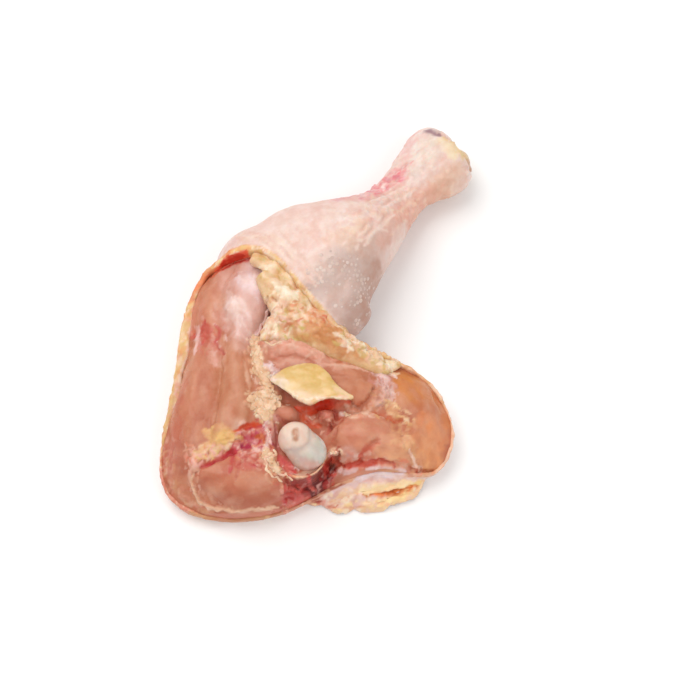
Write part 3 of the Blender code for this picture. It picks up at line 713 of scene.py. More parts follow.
def raw(name, shade, grain, relief, wettest, driest, inside, deep, coat):
    """A moist raw material that reads the painted colours. Light sinks into it and it has a wet film."""
    made = bpy.data.materials.new(name)
    made.use_nodes = True
    tree = made.node_tree
    shader = tree.nodes["Principled BSDF"]
    tint = add(tree, "ShaderNodeAttribute", {"attribute_name": "tint"}).outputs["Color"]
    look = add(
        tree, "ShaderNodeGroup", {"node_tree": moist}, Tint=tint, Shade=(*shade, 1), Grain=grain, Relief=relief,
        Driest=driest, Wettest=wettest,
    )
    for source, socket in (("Color", "Base Color"), ("Roughness", "Roughness"), ("Normal", "Normal")):
        tree.links.new(look.outputs[source], shader.inputs[socket])
    shader.inputs["Specular IOR Level"].default_value = 0.22
    shader.inputs["Subsurface Weight"].default_value = inside
    shader.inputs["Subsurface Radius"].default_value = (1.0, 0.42, 0.26)
    shader.inputs["Subsurface Scale"].default_value = deep * MM
    shader.inputs["Coat Weight"].default_value = coat
    shader.inputs["Coat Roughness"].default_value = 0.14
    return made


skin.data.materials.append(raw("raw skin", (0.93, 0.85, 0.81), 520.0, 0.35, 0.36, 0.55, 0.2, 2.2, 0.06))
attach(skin, "root")
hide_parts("skin")

# ------------------------------------------------------------------------------------------------
# The meat of the thigh, cut open on its inner side. Each muscle is a long oval lobe along its own
# line. The creases between them, the fat, the thin film and the blood are drawn over them, with
# painted shade in the slits and a painted shadow under the fat leaf.
# ------------------------------------------------------------------------------------------------
# Each muscle: x, y and height of its crest, half width and half height, and its colour.
MUSCLES = [
    (((-34, 84, 27, 5, 7), (-37, 68, 28, 10, 10), (-39, 50, 27, 9, 10), (-41, 33, 28, 11, 11), (-45, 15, 26, 12, 11),
      (-49, 0, 20, 10, 9), (-53, -10, 14, 5, 6)), (0.535, 0.185, 0.10)),
    (((-27, 58, 29, 4, 8), (-28, 42, 32, 8, 12), (-27, 24, 33, 9, 13), (-30, 8, 32, 10, 12), (-33, -4, 28, 7, 9)),
     (0.54, 0.235, 0.13)),
    (((-45, -12, 21, 6, 8), (-34, -13, 27, 11, 12), (-22, -14, 29, 12.5, 13), (-10, -14, 25, 10, 11),
      (-1, -15, 17, 5, 7)), (0.58, 0.195, 0.125)),
    (((-56, -4, 15, 3, 5), (-52, -14, 12, 4, 5), (-43, -20, 11, 4.5, 5), (-30, -23, 10, 4, 4), (-18, -23.5, 9, 3, 3.5)),
     (0.56, 0.21, 0.13)),
    (((-17, 50, 31, 4, 8), (-15, 34, 31.5, 6, 8), (-14, 20, 31, 7, 8), (-15, 5, 30, 7, 8), (-14, -6, 27, 5, 8)),
     (0.58, 0.28, 0.18)),
    (((-12, 34, 31, 6, 8), (0, 31, 33, 11, 9), (16, 29, 33, 12, 9), (29, 24, 31, 10, 9), (38, 20, 26, 5, 7)),
     (0.51, 0.20, 0.105)),
    (((-19, 46, 32, 4, 7), (-8, 45, 34.5, 6, 8), (4, 41, 35, 5, 8), (14, 35, 32, 3, 7)), (0.74, 0.36, 0.26)),
    (((10, 3, 26, 5, 8), (20, 4, 30, 9.5, 9.5), (31, 5, 30, 10, 9.5), (42, 6, 25, 7, 8)), (0.67, 0.285, 0.185)),
    (((40, 34, 24, 5, 8), (47, 27, 26, 9.5, 11), (51, 18, 24.5, 10, 11), (53.5, 8, 20, 8.5, 9), (51, -1, 14, 5, 6)),
     (0.60, 0.225, 0.075)),
    (((24, -5, 20, 5, 7), (34, -2, 24, 8, 10), (45, -1, 22, 8.5, 9), (53, -2, 15, 5, 6)), (0.70, 0.34, 0.18)),
    (((-24, 86, 33, 7, 8), (-22, 76, 36, 12, 11), (-24, 62, 34.5, 11, 11), (-25, 50, 29, 7, 9)), (0.67, 0.33, 0.25)),
    (((-9.5, 17, 29, 2, 4), (-6, 14, 31, 4.2, 6), (-3, 11.6, 30.4, 4, 6), (-1.5, 10, 28, 2, 4)), (0.62, 0.27, 0.18)),
    (((8, 15.5, 29, 2, 4), (10.5, 13, 30.4, 4, 6), (12.5, 10, 30, 3.4, 6), (14, 7.5, 27.5, 2, 4)), (0.52, 0.18, 0.13)),
]
SHARPNESS = 2.4  # how wide the creases between the muscles are


def crest_over(points, stations):
    """How high a muscle's top is at each point, and where that is along and beside its line."""
    line = smooth_line(stations, np.linspace(0, 1, 8 * len(stations)))
    nearest = np.full(len(points), 1e9)
    share = np.zeros(len(points))
    beside = np.zeros(len(points))
    for i, (a, b) in enumerate(zip(line[:, :2], line[1:, :2])):
        along = b - a
        t = np.clip((points[:, :2] - a) @ along / (along @ along), 0, 1)
        off = points[:, :2] - a - t[:, None] * along
        gap = np.linalg.norm(off, axis=1)
        closer = gap < nearest
        nearest[closer] = gap[closer]
        share[closer] = (i + t[closer]) / (len(line) - 1)
        beside[closer] = (gap * np.sign(along[0] * off[:, 1] - along[1] * off[:, 0]))[closer]
    station = smooth_line(stations, share)
    fullness = (4 * share * (1 - share) + 1e-3) ** 0.3
    middle = station[:, 2] - station[:, 4]
    wide = np.maximum(station[:, 3] * fullness, 0.5)
    tall = station[:, 4] * fullness
    height = middle + tall * np.sqrt(np.clip(1 - (nearest / wide) ** 2, 0, 1)) - 6 * np.maximum(nearest / wide - 1, 0)
    return height, share * 60, beside


AROUND, INWARD = 420, 100
edge_xy, edge_z, towards, sizes = rim_ring(AROUND)
wall = sizes[:, 1]
out = edge_xy - THIGH_MIDDLE
out_reach = np.linalg.norm(out, axis=1)
foot_of = 2 + 0.42 * edge_z

top = []
inner_reach = out_reach - wall
for share in np.linspace(1, 0.004, INWARD):
    top.append(THIGH_MIDDLE + out / out_reach[:, None] * (inner_reach * share)[:, None])
top = np.array(top)
flat = np.column_stack([top.reshape(-1, 2), np.zeros(top.shape[0] * AROUND)])
depth = ((out_reach - wall)[None, :] * (1 - np.linspace(1, 0.004, INWARD))[:, None]).ravel()
beside_rim = np.tile(edge_z, INWARD)
# Below the muscles the flesh fills the dish, and rises quickly from its edge.
base = beside_rim - 1 + (26.5 - beside_rim) * step(-3, 17, depth)
base += 5 * np.exp(-(((flat[:, 0] + 2) / 17) ** 2) - ((flat[:, 1] - 38) / 13) ** 2)
total = np.exp(base / SHARPNESS)
for stations, _ in MUSCLES:
    height, _, _ = crest_over(flat, stations)
    total += np.exp(np.clip(height, 0, 60) / SHARPNESS)
crest = SHARPNESS * np.log(total) - 0.4 * SHARPNESS
# The ball of the bone sits in a hollow with a raised torn lip round it.
hollow = np.exp(-(((flat[:, 0] - 2.6) ** 2 + (flat[:, 1] + 3.6) ** 2) / 11.4**2) ** 4)
floor_of_hollow = 25.6 + 2.6 * step(-5, -10, flat[:, 0]) - 1.8 * step(6, 12, flat[:, 0]) * step(-5, 1, flat[:, 1])
crest = crest + (floor_of_hollow - crest) * hollow
# A soft fold of flesh fills the gap between the lip and the rim, so that only a slit is left.
FOLD = [
    (-9, -17.5, 20, 2, 4), (-3, -18.7, 17.5, 2, 4), (4, -18.7, 16.8, 2, 4), (10, -15.8, 17.5, 2, 4),
    (14.8, -11.6, 19.5, 2.2, 5), (19, -8.4, 23, 2.5, 5),
]
height, _, _ = crest_over(flat, FOLD)
crest = np.logaddexp(crest / 0.8, np.clip(height, 0, 60) / 0.8) * 0.8
crest = np.minimum(crest, beside_rim + 0.5 + 2.2 * np.sqrt(np.maximum(depth, 0) * 9))
LIP = [
    (-13, 8, 29.4, 1.6, 4), (-12.6, 2, 29.8, 2.0, 5), (-11.4, -4, 29.2, 2.2, 5), (-11.4, -9, 28, 2.3, 5), (-8.4, -12.4, 27, 2.0, 5),
    (-4.2, -14.4, 26.6, 1.6, 6), (0.8, -15.2, 26.5, 1.3, 7), (6.0, -13.8, 26.7, 1.2, 7), (10.0, -9.8, 27.2, 1.2, 7),
    (12.2, -5, 27.8, 1.2, 7), (14.6, -3.4, 28, 1.0, 5),
]
height, _, _ = crest_over(flat, LIP)
crest = np.logaddexp(crest / 0.5, np.clip(height, 0, 60) / 0.5) * 0.5
top = np.column_stack([flat[:, :2], crest]).reshape(INWARD, AROUND, 3)
walls = [
    np.column_stack([edge_xy + towards * (wall + foot_of * (1 - math.sin(turn)))[:, None], SKIN + 0.3 + (edge_z - 1.8 - SKIN) * (1 - math.cos(turn))])
    for turn in np.linspace(0, math.pi / 2, 12)[:-1]
]
meat = made_by("thigh_meat", [skinned(np.concatenate([walls, top]))], remesh(0.62), soften(2))
paint = Surface(meat, (0.45, 0.14, 0.08), seed=40)
points, facing = paint.points, paint.facing
paint.where = step(0.05, 0.4, facing[:, 2]) * step(5, 9, points[:, 2])

# Each muscle's colour and its fine strands, which run along it.
weight = np.ones(len(points))
strands = np.zeros(len(points))
for index, (stations, colour) in enumerate(MUSCLES):
    height, along, beside = crest_over(points, stations)
    near = np.exp(np.clip((height - points[:, 2]) / 1.4, -12, 3))
    weight += near
    paint.tint += near[:, None] * np.array(colour)
    strands += near * noise(np.column_stack([beside, along * 0.18, 0 * along + 9 * index]), 1.5, 7)
paint.tint /= weight[:, None]
strands /= weight
paint.relief += 0.07 * strands + 0.35 * noise(points, 9, 8) + 0.16 * noise(points, 3.6, 9) + 0.05 * noise(points, 1.7, 10)
paint.tint *= (1 + 0.05 * strands + 0.07 * noise(points, 6, 11))[:, None]

CREAM, FILM, LILAC = (0.86, 0.64, 0.42), (0.86, 0.62, 0.57), (0.72, 0.53, 0.52)
BLOOD, CRIMSON = (0.56, 0.10, 0.06), (0.50, 0.045, 0.06)

# Wide soft changes of colour.
for line, wide, colour, strength in (
    ([(-56, 40), (-56, 20), (-58, 4), (-58, -8)], 7, (0.56, 0.16, 0.10), 0.6),
    ([(-54, -14), (-44, -23), (-30, -26), (-14, -25)], 5, (0.60, 0.25, 0.14), 0.6),
    ([(-36, -22), (-22, -24.6), (-8, -23.5)], 3.2, (0.42, 0.11, 0.06), 0.75),
    ([(-42, -12), (-32, -9.6), (-20, -9), (-12, -12)], 4, (0.52, 0.15, 0.10), 0.75),
    ([(-36, 48), (-34, 34), (-33, 18)], 4, (0.60, 0.28, 0.14), 0.6),
    ([(-24, 40), (-24, 24), (-25, 12)], 5, (0.60, 0.285, 0.17), 0.6),
    ([(61, 8), (61, 18), (54, 30)], 6, (0.70, 0.26, 0.09), 0.7),
    ([(56, 12), (57, 4), (57, -4)], 5, (0.74, 0.34, 0.16), 0.8),
    ([(46, 0), (42, -4), (36, -3)], 5, (0.80, 0.42, 0.23), 0.75),
    ([(26, -1), (34, 0), (40, 3)], 4, (0.78, 0.38, 0.24), 0.6),
    ([(-12, 41), (-5, 41.5), (3, 39), (9, 35)], 3.4, (0.78, 0.38, 0.28), 0.8),
    ([(-11, 35.5), (-4, 36), (3, 34)], 2.2, (0.74, 0.42, 0.32), 0.7),
    ([(18, 22), (26, 22), (31, 26)], 4, (0.66, 0.28, 0.15), 0.6),
    ([(-47, 78), (-50, 70), (-50, 62)], 5, (0.68, 0.29, 0.19), 0.7),
    ([(-44, 74), (-40, 66), (-40, 58)], 5, (0.66, 0.29, 0.20), 0.6),
    ([(-34, 77), (-36, 68)], 4, (0.76, 0.45, 0.38), 0.6),
    ([(40, 20), (46, 26), (46, 32)], 6, (0.66, 0.30, 0.12), 0.5),
    ([(47, 8), (54, 4), (56, -4)], 5, (0.62, 0.24, 0.09), 0.5),
    ([(-44, 74), (-46, 64), (-44, 56)], 5, (0.66, 0.27, 0.18), 0.6),
    ([(-22, 82), (-32, 80), (-39, 75)], 5, (0.70, 0.38, 0.30), 0.6),
    ([(-16, 78), (-13, 72), (-15, 66)], 4, (0.78, 0.56, 0.50), 0.6),
    ([(20, 6), (28, 9), (36, 8)], 6, (0.70, 0.31, 0.21), 0.6),
    ([(46, 28), (50, 26)], 6, (0.63, 0.225, 0.045), 0.85),
    ([(54, -5), (58, -6), (61, -3)], 4, (0.66, 0.28, 0.11), 0.8),
    ([(24, 18.5), (27, 15.6), (30, 17.4)], 2.4, (0.60, 0.17, 0.09), 0.8),
    ([(-43, 70), (-42, 60)], 6, (0.64, 0.26, 0.17), 0.6),
):
    paint.stroke(line, wide, 0, colour, strength, 0.9, 1.5)
# The whitish film over the knee and down the seam of the thigh.
for line, wide, colour, strength in (
    ([(-21, 75), (-17, 71)], 7.5, LILAC, 0.75),
    ([(-23, 73), (-20, 70)], 4.5, (0.86, 0.68, 0.67), 0.7),
    ([(-19, 68), (-16, 69)], 2.5, (0.72, 0.45, 0.44), 0.5),
    ([(-28, 60), (-24, 57)], 7, FILM, 0.75),
    ([(-30, 62), (-27, 58)], 3.5, (0.93, 0.76, 0.71), 0.7),
    ([(-29, 51), (-27, 46), (-25, 42)], 4.5, FILM, 0.45),
    ([(-37.5, 48), (-37, 43), (-36.5, 37)], 3.2, (0.80, 0.46, 0.42), 0.75),
    ([(-30, 8.5), (-26, 7)], 3.0, (0.80, 0.55, 0.42), 0.6),
    ([(-11, 30), (-9, 27)], 2.4, FILM, 0.75),
    ([(15, -8), (22, -5)], 3.0, (0.72, 0.46, 0.40), 0.6),
):
    paint.stroke(line, wide, 0.15, colour, strength, 0.7, 1.6)
# Creases between the muscles.
for line, wide, lift, colour, strength in (
    ([(-36, 50), (-35, 38), (-35, 28), (-36, 17), (-37, 10)], 1.3, -0.7, (0.52, 0.20, 0.10), 0.45),
    ([(-25, 41), (-24, 31), (-23, 22)], 1.2, -0.5, (0.58, 0.26, 0.15), 0.4),
    ([(-46, -13), (-41, -9.5), (-34, -7), (-28, -4)], 1.1, -1.2, BLOOD, 0.75),
    ([(-13, 43.5), (-6, 44.5), (2, 42.5), (9, 37)], 0.7, -0.4, (0.62, 0.24, 0.16), 0.6),
    ([(-12, 38.5), (-4, 38.4), (3, 36.6), (9, 32.5)], 0.7, -0.4, (0.60, 0.22, 0.14), 0.6),
    ([(-11, 33.6), (-5, 34.6)], 0.7, -0.3, (0.60, 0.22, 0.14), 0.5),
    ([(34, -6), (43, -7.5), (52, -8.5), (58, -7)], 1.1, -1.0, (0.50, 0.14, 0.07), 0.6),
    ([(36.7, 16.6), (39.4, 13.7), (42.1, 11.7), (43.9, 5.9), (45.7, -1.9)], 0.9, -0.7, (0.66, 0.33, 0.20), 0.5),
    ([(49.5, -2), (51, -6), (53, -9)], 0.7, -0.5, (0.85, 0.55, 0.40), 0.7),
    ([(21.5, 19), (25.6, 15.8), (30, 19), (33, 25)], 1.3, -1.6, (0.45, 0.12, 0.06), 0.75),
    ([(9, 29), (20, 28.5), (30, 27)], 0.6, -0.2, (0.62, 0.30, 0.20), 0.4),
):
    paint.stroke(line, wide, lift, colour, strength)
# Pale seams and tendons that lie in the surface.
for line, wide, lift, colour, strength in (
    ([(7, 36), (12, 34), (19, 34.4), (27, 33.5), (32, 32)], 0.8, 0.35, (0.80, 0.50, 0.38), 0.75),
    ([(-19, 41), (-12, 45), (-4, 46)], 0.8, 0.2, (0.84, 0.58, 0.46), 0.6),
    ([(-47.5, -12), (-46, -16.5), (-43, -22), (-37, -25)], 0.6, 0.3, (0.80, 0.50, 0.36), 0.7),
    ([(-46.5, -10), (-47.5, -13), (-46, -16)], 0.9, 0.2, (0.80, 0.55, 0.46), 0.6),
    ([(-25, 37), (-23, 30), (-22, 24)], 0.7, 0.15, (0.82, 0.54, 0.40), 0.45),
    ([(-33, 45), (-33.5, 38), (-33, 31)], 0.7, 0.15, (0.80, 0.50, 0.38), 0.4),
    ([(32, 33.5), (35.5, 31), (38, 27), (38, 22.5), (35, 19.5)], 2.8, 0.4, (0.70, 0.43, 0.40), 0.85),
    ([(33.4, 31), (36.2, 27.6), (36.6, 23.5)], 0.5, 0.3, (0.90, 0.72, 0.68), 0.8),
    ([(35.2, 31.4), (38.2, 27.4), (38.6, 23)], 0.5, 0.3, (0.90, 0.70, 0.66), 0.7),
    ([(33, 33.5), (38, 33), (43, 34)], 1.3, 0.4, CREAM, 0.8),
    ([(35, 19.5), (31, 16.5), (27, 13), (22, 11.2)], 1.5, 0.7, (0.86, 0.60, 0.44), 0.85),
    ([(33, 22), (32, 18), (34, 14)], 1.0, 0.4, (0.84, 0.56, 0.36), 0.6),
    ([(46, 11.5), (47, 10.8)], 0.9, 0.2, CREAM, 0.8),
    ([(46, 4), (49, 2), (51, -1)], 0.9, 0.2, (0.84, 0.56, 0.36), 0.45),
    ([(38, 20), (40, 15), (44, 12.5)], 1.6, 0.3, (0.76, 0.44, 0.22), 0.6),
):
    paint.stroke(line, wide, lift, colour, strength)
# Fat over the seam of the thigh, the yellow patch at the front and the fat on the rim.
for line, wide, lift, colour, strength in (
    ([(-20, 50), (-20, 45), (-19.5, 40), (-18, 34), (-15.5, 28), (-14, 23)], 2.4, 0.7, (0.84, 0.58, 0.38), 0.9),
    ([(-21, 47), (-20, 41), (-18.5, 36)], 1.2, 0.4, (0.90, 0.70, 0.50), 0.7),
    ([(-17, 33), (-15, 28), (-13, 24)], 1.3, 0.4, (0.90, 0.69, 0.48), 0.7),
    ([(-20, 19), (-15, 20), (-9, 18.5)], 2.9, 0.9, (0.86, 0.62, 0.36), 0.92),
    ([(-18.5, 15.5), (-15, 13), (-12, 15.5)], 2.3, 0.8, (0.88, 0.66, 0.40), 0.9),
    ([(-17, 12), (-14, 10)], 1.5, 0.6, CREAM, 0.85),
    ([(-24, 17), (-21, 18), (-18, 19)], 1.6, 0.3, (0.84, 0.58, 0.38), 0.8),
    ([(-37, 7.5), (-33, 4.5), (-29, 2)], 2.4, 0.5, (0.80, 0.51, 0.22), 0.92),
    ([(-35, 2), (-39, 0.5), (-42, -2.5), (-45.5, -6)], 1.9, 0.4, (0.76, 0.46, 0.22), 0.85),
    ([(-36.5, 6), (-35.5, 3), (-38, 1)], 2.2, 0.3, (0.82, 0.54, 0.25), 0.8),
    ([(-29, 0.5), (-33, -1.5), (-38, -3)], 1.2, 0.3, (0.84, 0.58, 0.42), 0.7),
    ([(-46.5, -7), (-45, -11)], 1.5, 0.2, (0.80, 0.50, 0.36), 0.7),
):
    paint.stroke(line, wide, lift, colour, strength, 0.35, 1.3)
# The torn lip of the hip socket round the ball.
for line, wide, lift, colour, strength in (
    ([(10, 10), (12.5, 5), (13.4, 0), (14, -2)], 2.6, -0.6, (0.46, 0.15, 0.09), 0.85),
    ([(-13, 9), (-12.6, 3), (-11, -3)], 2.6, 0, (0.72, 0.36, 0.31), 0.85),
    ([(-14, 7), (-13, 1), (-12.6, -2)], 1.0, 0.4, (0.84, 0.58, 0.54), 0.8),
    ([(-14.5, -3), (-12.5, -8), (-11.5, -12), (-8, -14)], 2.4, 0, (0.86, 0.56, 0.36), 0.9),
    ([(-10.4, 8), (-10, 1), (-8.6, -4)], 0.9, -0.5, (0.52, 0.14, 0.12), 0.75),
    ([(-8, -13.6), (-3, -15.4), (2, -15.9), (7, -13.8), (10.6, -9.8), (12.6, -5.2)], 1.6, 0, (0.86, 0.46, 0.26), 0.9),
    ([(-5, -12.4), (0, -13.6), (5, -12.6), (9, -9), (11.4, -4.6)], 1.2, 0, (0.84, 0.60, 0.46), 0.8),
    ([(-1, -15.6), (6.0, -14.4), (10.4, -10)], 0.5, 0.1, (0.92, 0.68, 0.46), 0.8),
    ([(-4.5, -15.6), (0.8, -17.0), (6.6, -15.4), (11.2, -10.8), (13.4, -6)], 0.6, 0, (0.76, 0.18, 0.08), 0.85),
    ([(12.6, -4.4), (15, -3), (18, -3.6)], 1.4, 0.3, (0.92, 0.70, 0.50), 0.95),
    ([(-15, 11), (-11, 11), (-8, 9.5)], 1.1, 0.4, (0.76, 0.42, 0.38), 0.7),
):
    paint.stroke(line, wide, lift, colour, strength)
# Blood: the slit under the rim, dark red with blood and with painted shade, and the patches at the
# front, round the hip and between the muscles.
for line, wide, lift, colour, strength in (
    ([(-48, 75), (-43, 80), (-36, 83)], 1.1, -0.3, (0.80, 0.30, 0.14), 0.8),
    ([(-42, 80.5), (-37, 82.8), (-31, 84.4)], 0.9, -0.6, (0.72, 0.10, 0.05), 0.9),
    ([(-36, 82.4), (-31, 84), (-26, 84.6), (-22, 84.8)], 0.9, -1.0, (0.60, 0.05, 0.03), 0.95),
    ([(-47, 53.5), (-44, 52), (-44, 46)], 2.1, -0.5, (0.56, 0.09, 0.06), 0.9),
    ([(-49, 55), (-46, 55)], 1.6, -0.2, (0.66, 0.20, 0.12), 0.7),
    ([(-45, 46), (-44.5, 42)], 1.2, -0.2, (0.64, 0.24, 0.20), 0.6),
    ([(-40, 52), (-37.5, 50.5), (-38, 46)], 1.0, -0.3, (0.62, 0.15, 0.12), 0.8),
    ([(-39.5, 47), (-37.5, 43), (-35.5, 41)], 0.9, -0.3, (0.62, 0.18, 0.14), 0.75),
    ([(-28, 0.5), (-22, 2.5), (-17, 1), (-14, -3)], 4.6, -0.3, (0.64, 0.20, 0.17), 0.75),
    ([(-26, -3), (-22, -7), (-17, -6)], 4.0, -0.2, (0.60, 0.17, 0.14), 0.75),
    ([(-25.5, 5.4), (-21.9, 7.0), (-16.4, 6.4), (-12.5, 5)], 1.1, -1.0, (0.50, 0.05, 0.035), 0.9),
    ([(-26, 0.5), (-22, -1), (-18.5, 1.5), (-14.5, 0)], 1.2, -0.7, CRIMSON, 0.85),
    ([(-25, 1), (-24.5, -5), (-25.5, -11), (-27, -17)], 0.8, -0.7, (0.48, 0.06, 0.05), 0.8),
    ([(-15, 2.5), (-13.3, -2.5), (-17, -5.5)], 1.4, -0.8, CRIMSON, 0.85),
    ([(-22, -3), (-19, -8), (-16, -11)], 0.7, -0.5, (0.52, 0.09, 0.08), 0.7),
    ([(-23.5, -12), (-20.5, -13.5), (-18, -13.5)], 0.5, -0.3, (0.50, 0.10, 0.07), 0.6),
    ([(-28, -3), (-33, -6), (-38, -8.5)], 0.9, -0.7, (0.50, 0.07, 0.05), 0.85),
    ([(-9, -6), (-6.4, -9.4), (-3, -12)], 1.7, -0.5, (0.62, 0.09, 0.08), 0.9),
    ([(-8, -14.5), (-4, -16), (-4.5, -20), (-6, -23)], 1.8, -0.8, (0.54, 0.08, 0.06), 0.85),
    ([(-7, -18), (-4, -23), (2, -25)], 2.0, -0.3, (0.60, 0.16, 0.12), 0.7),
    # The slit under the lip, painted near black as shade.
    ([(-3, -17.6), (2, -18.2), (8, -16.2), (13, -11.4), (15.4, -6.4), (17, -4)], 1.3, -0.8, (0.30, 0.03, 0.015), 0.95),
    ([(14, 1), (15, 4), (17, 6.5)], 1.0, -0.8, (0.42, 0.08, 0.05), 0.8),
    ([(16, -6.5), (20, -7.5), (27, -7)], 1.3, -0.8, (0.48, 0.10, 0.05), 0.75),
    ([(26, -7.2), (29.5, -4), (32, -0.5), (35, 2)], 1.2, -1.0, (0.60, 0.12, 0.07), 0.85),
    ([(30, -6.5), (35, -7), (39, -7.5)], 0.9, -0.7, (0.58, 0.16, 0.09), 0.7),
    ([(36.5, 13), (40, 11.5), (45, 11.5)], 0.9, -0.7, (0.60, 0.17, 0.08), 0.75),
    ([(-44, 40), (-46, 36)], 1.6, 0, (0.66, 0.26, 0.20), 0.5),
    ([(11, 4.5), (14.5, 8), (19, 10.5)], 1.1, -0.9, (0.50, 0.08, 0.05), 0.8),
):
    paint.stroke(line, wide, lift, colour, strength, 0.55, 1.2)
# The dark red hollow below the fat leaf, with torn strands across it and a painted shadow under the leaf's lower edge.
for line, wide, lift, colour, strength in (
    ([(-1, 16.5), (4, 15), (9, 16.6), (15, 18.4), (21, 18.4)], 2.5, -1.2, (0.74, 0.09, 0.035), 0.95),
    ([(1.2, 16), (2.4, 12.5), (5, 10), (8, 8)], 2.2, -1.1, (0.66, 0.13, 0.06), 0.9),
    # Painted shadow under the lower edge of the leaf.
    ([(7, 17), (12, 18), (17, 18.6)], 1.5, -0.7, (0.70, 0.05, 0.02), 0.9),
    ([(3, 13.4), (5.4, 12), (7, 12.6)], 1.0, 0.5, (0.66, 0.30, 0.22), 0.7),
    ([(14.6, 15.4), (16.4, 12), (14.6, 8.4), (12.6, 6)], 1.2, -1.4, (0.42, 0.06, 0.035), 0.9),
    ([(21, 15.4), (18, 11.6), (15.4, 8.4)], 0.8, -0.6, (0.60, 0.14, 0.09), 0.85),
    ([(18.4, 14.6), (20.4, 13.4)], 1.1, 0.5, (0.84, 0.64, 0.56), 0.85),
    ([(-10, 12), (-7.4, 9.6), (-4, 8.8)], 0.9, -0.6, (0.50, 0.14, 0.10), 0.75),
    ([(-11, 17), (-8.6, 19), (-5, 19)], 1.0, -0.6, (0.56, 0.22, 0.13), 0.6),
):
    paint.stroke(line, wide, lift, colour, strength, 0.55, 1.0)
# The slit under the lip: its wall painted near black as shade, then the crimson flesh beside it.
paint.where = step(26.3, 25.4, points[:, 2]) * step(5, 7, points[:, 2]) * step(-11, -5, points[:, 0])
for line, wide, colour in (
    ([(-6, -16.4), (0, -17.6), (5.6, -16.6), (10.4, -12.8), (13.4, -8.4), (16, -5)], 2.6, (0.26, 0.012, 0.006)),
    ([(4, -18), (9, -15.4), (13, -11), (15.4, -7)], 2.4, (0.12, 0.004, 0.002)),
    ([(-9, -21), (-4, -21), (1, -20.6)], 2.0, (0.60, 0.12, 0.09)),
):
    paint.stroke(line, wide, 0, colour, 0.95, 0.4, 0.8)
# Dark specks of painted shade and flecks of blood along the slit.
paint.dabs(
    [(-3, -19), (4, -18.4), (10, -15), (14, -10), (17, -6)], 4, 80, (0.6, 1.6),
    ((0.52, 0.04, 0.03), (0.14, 0.01, 0.008), (0.62, 0.30, 0.26), (0.36, 0.02, 0.015), (0.70, 0.12, 0.09)), 0.3, 0.85, 96,
)
paint.where = step(0.05, 0.4, facing[:, 2]) * step(5, 9, points[:, 2])
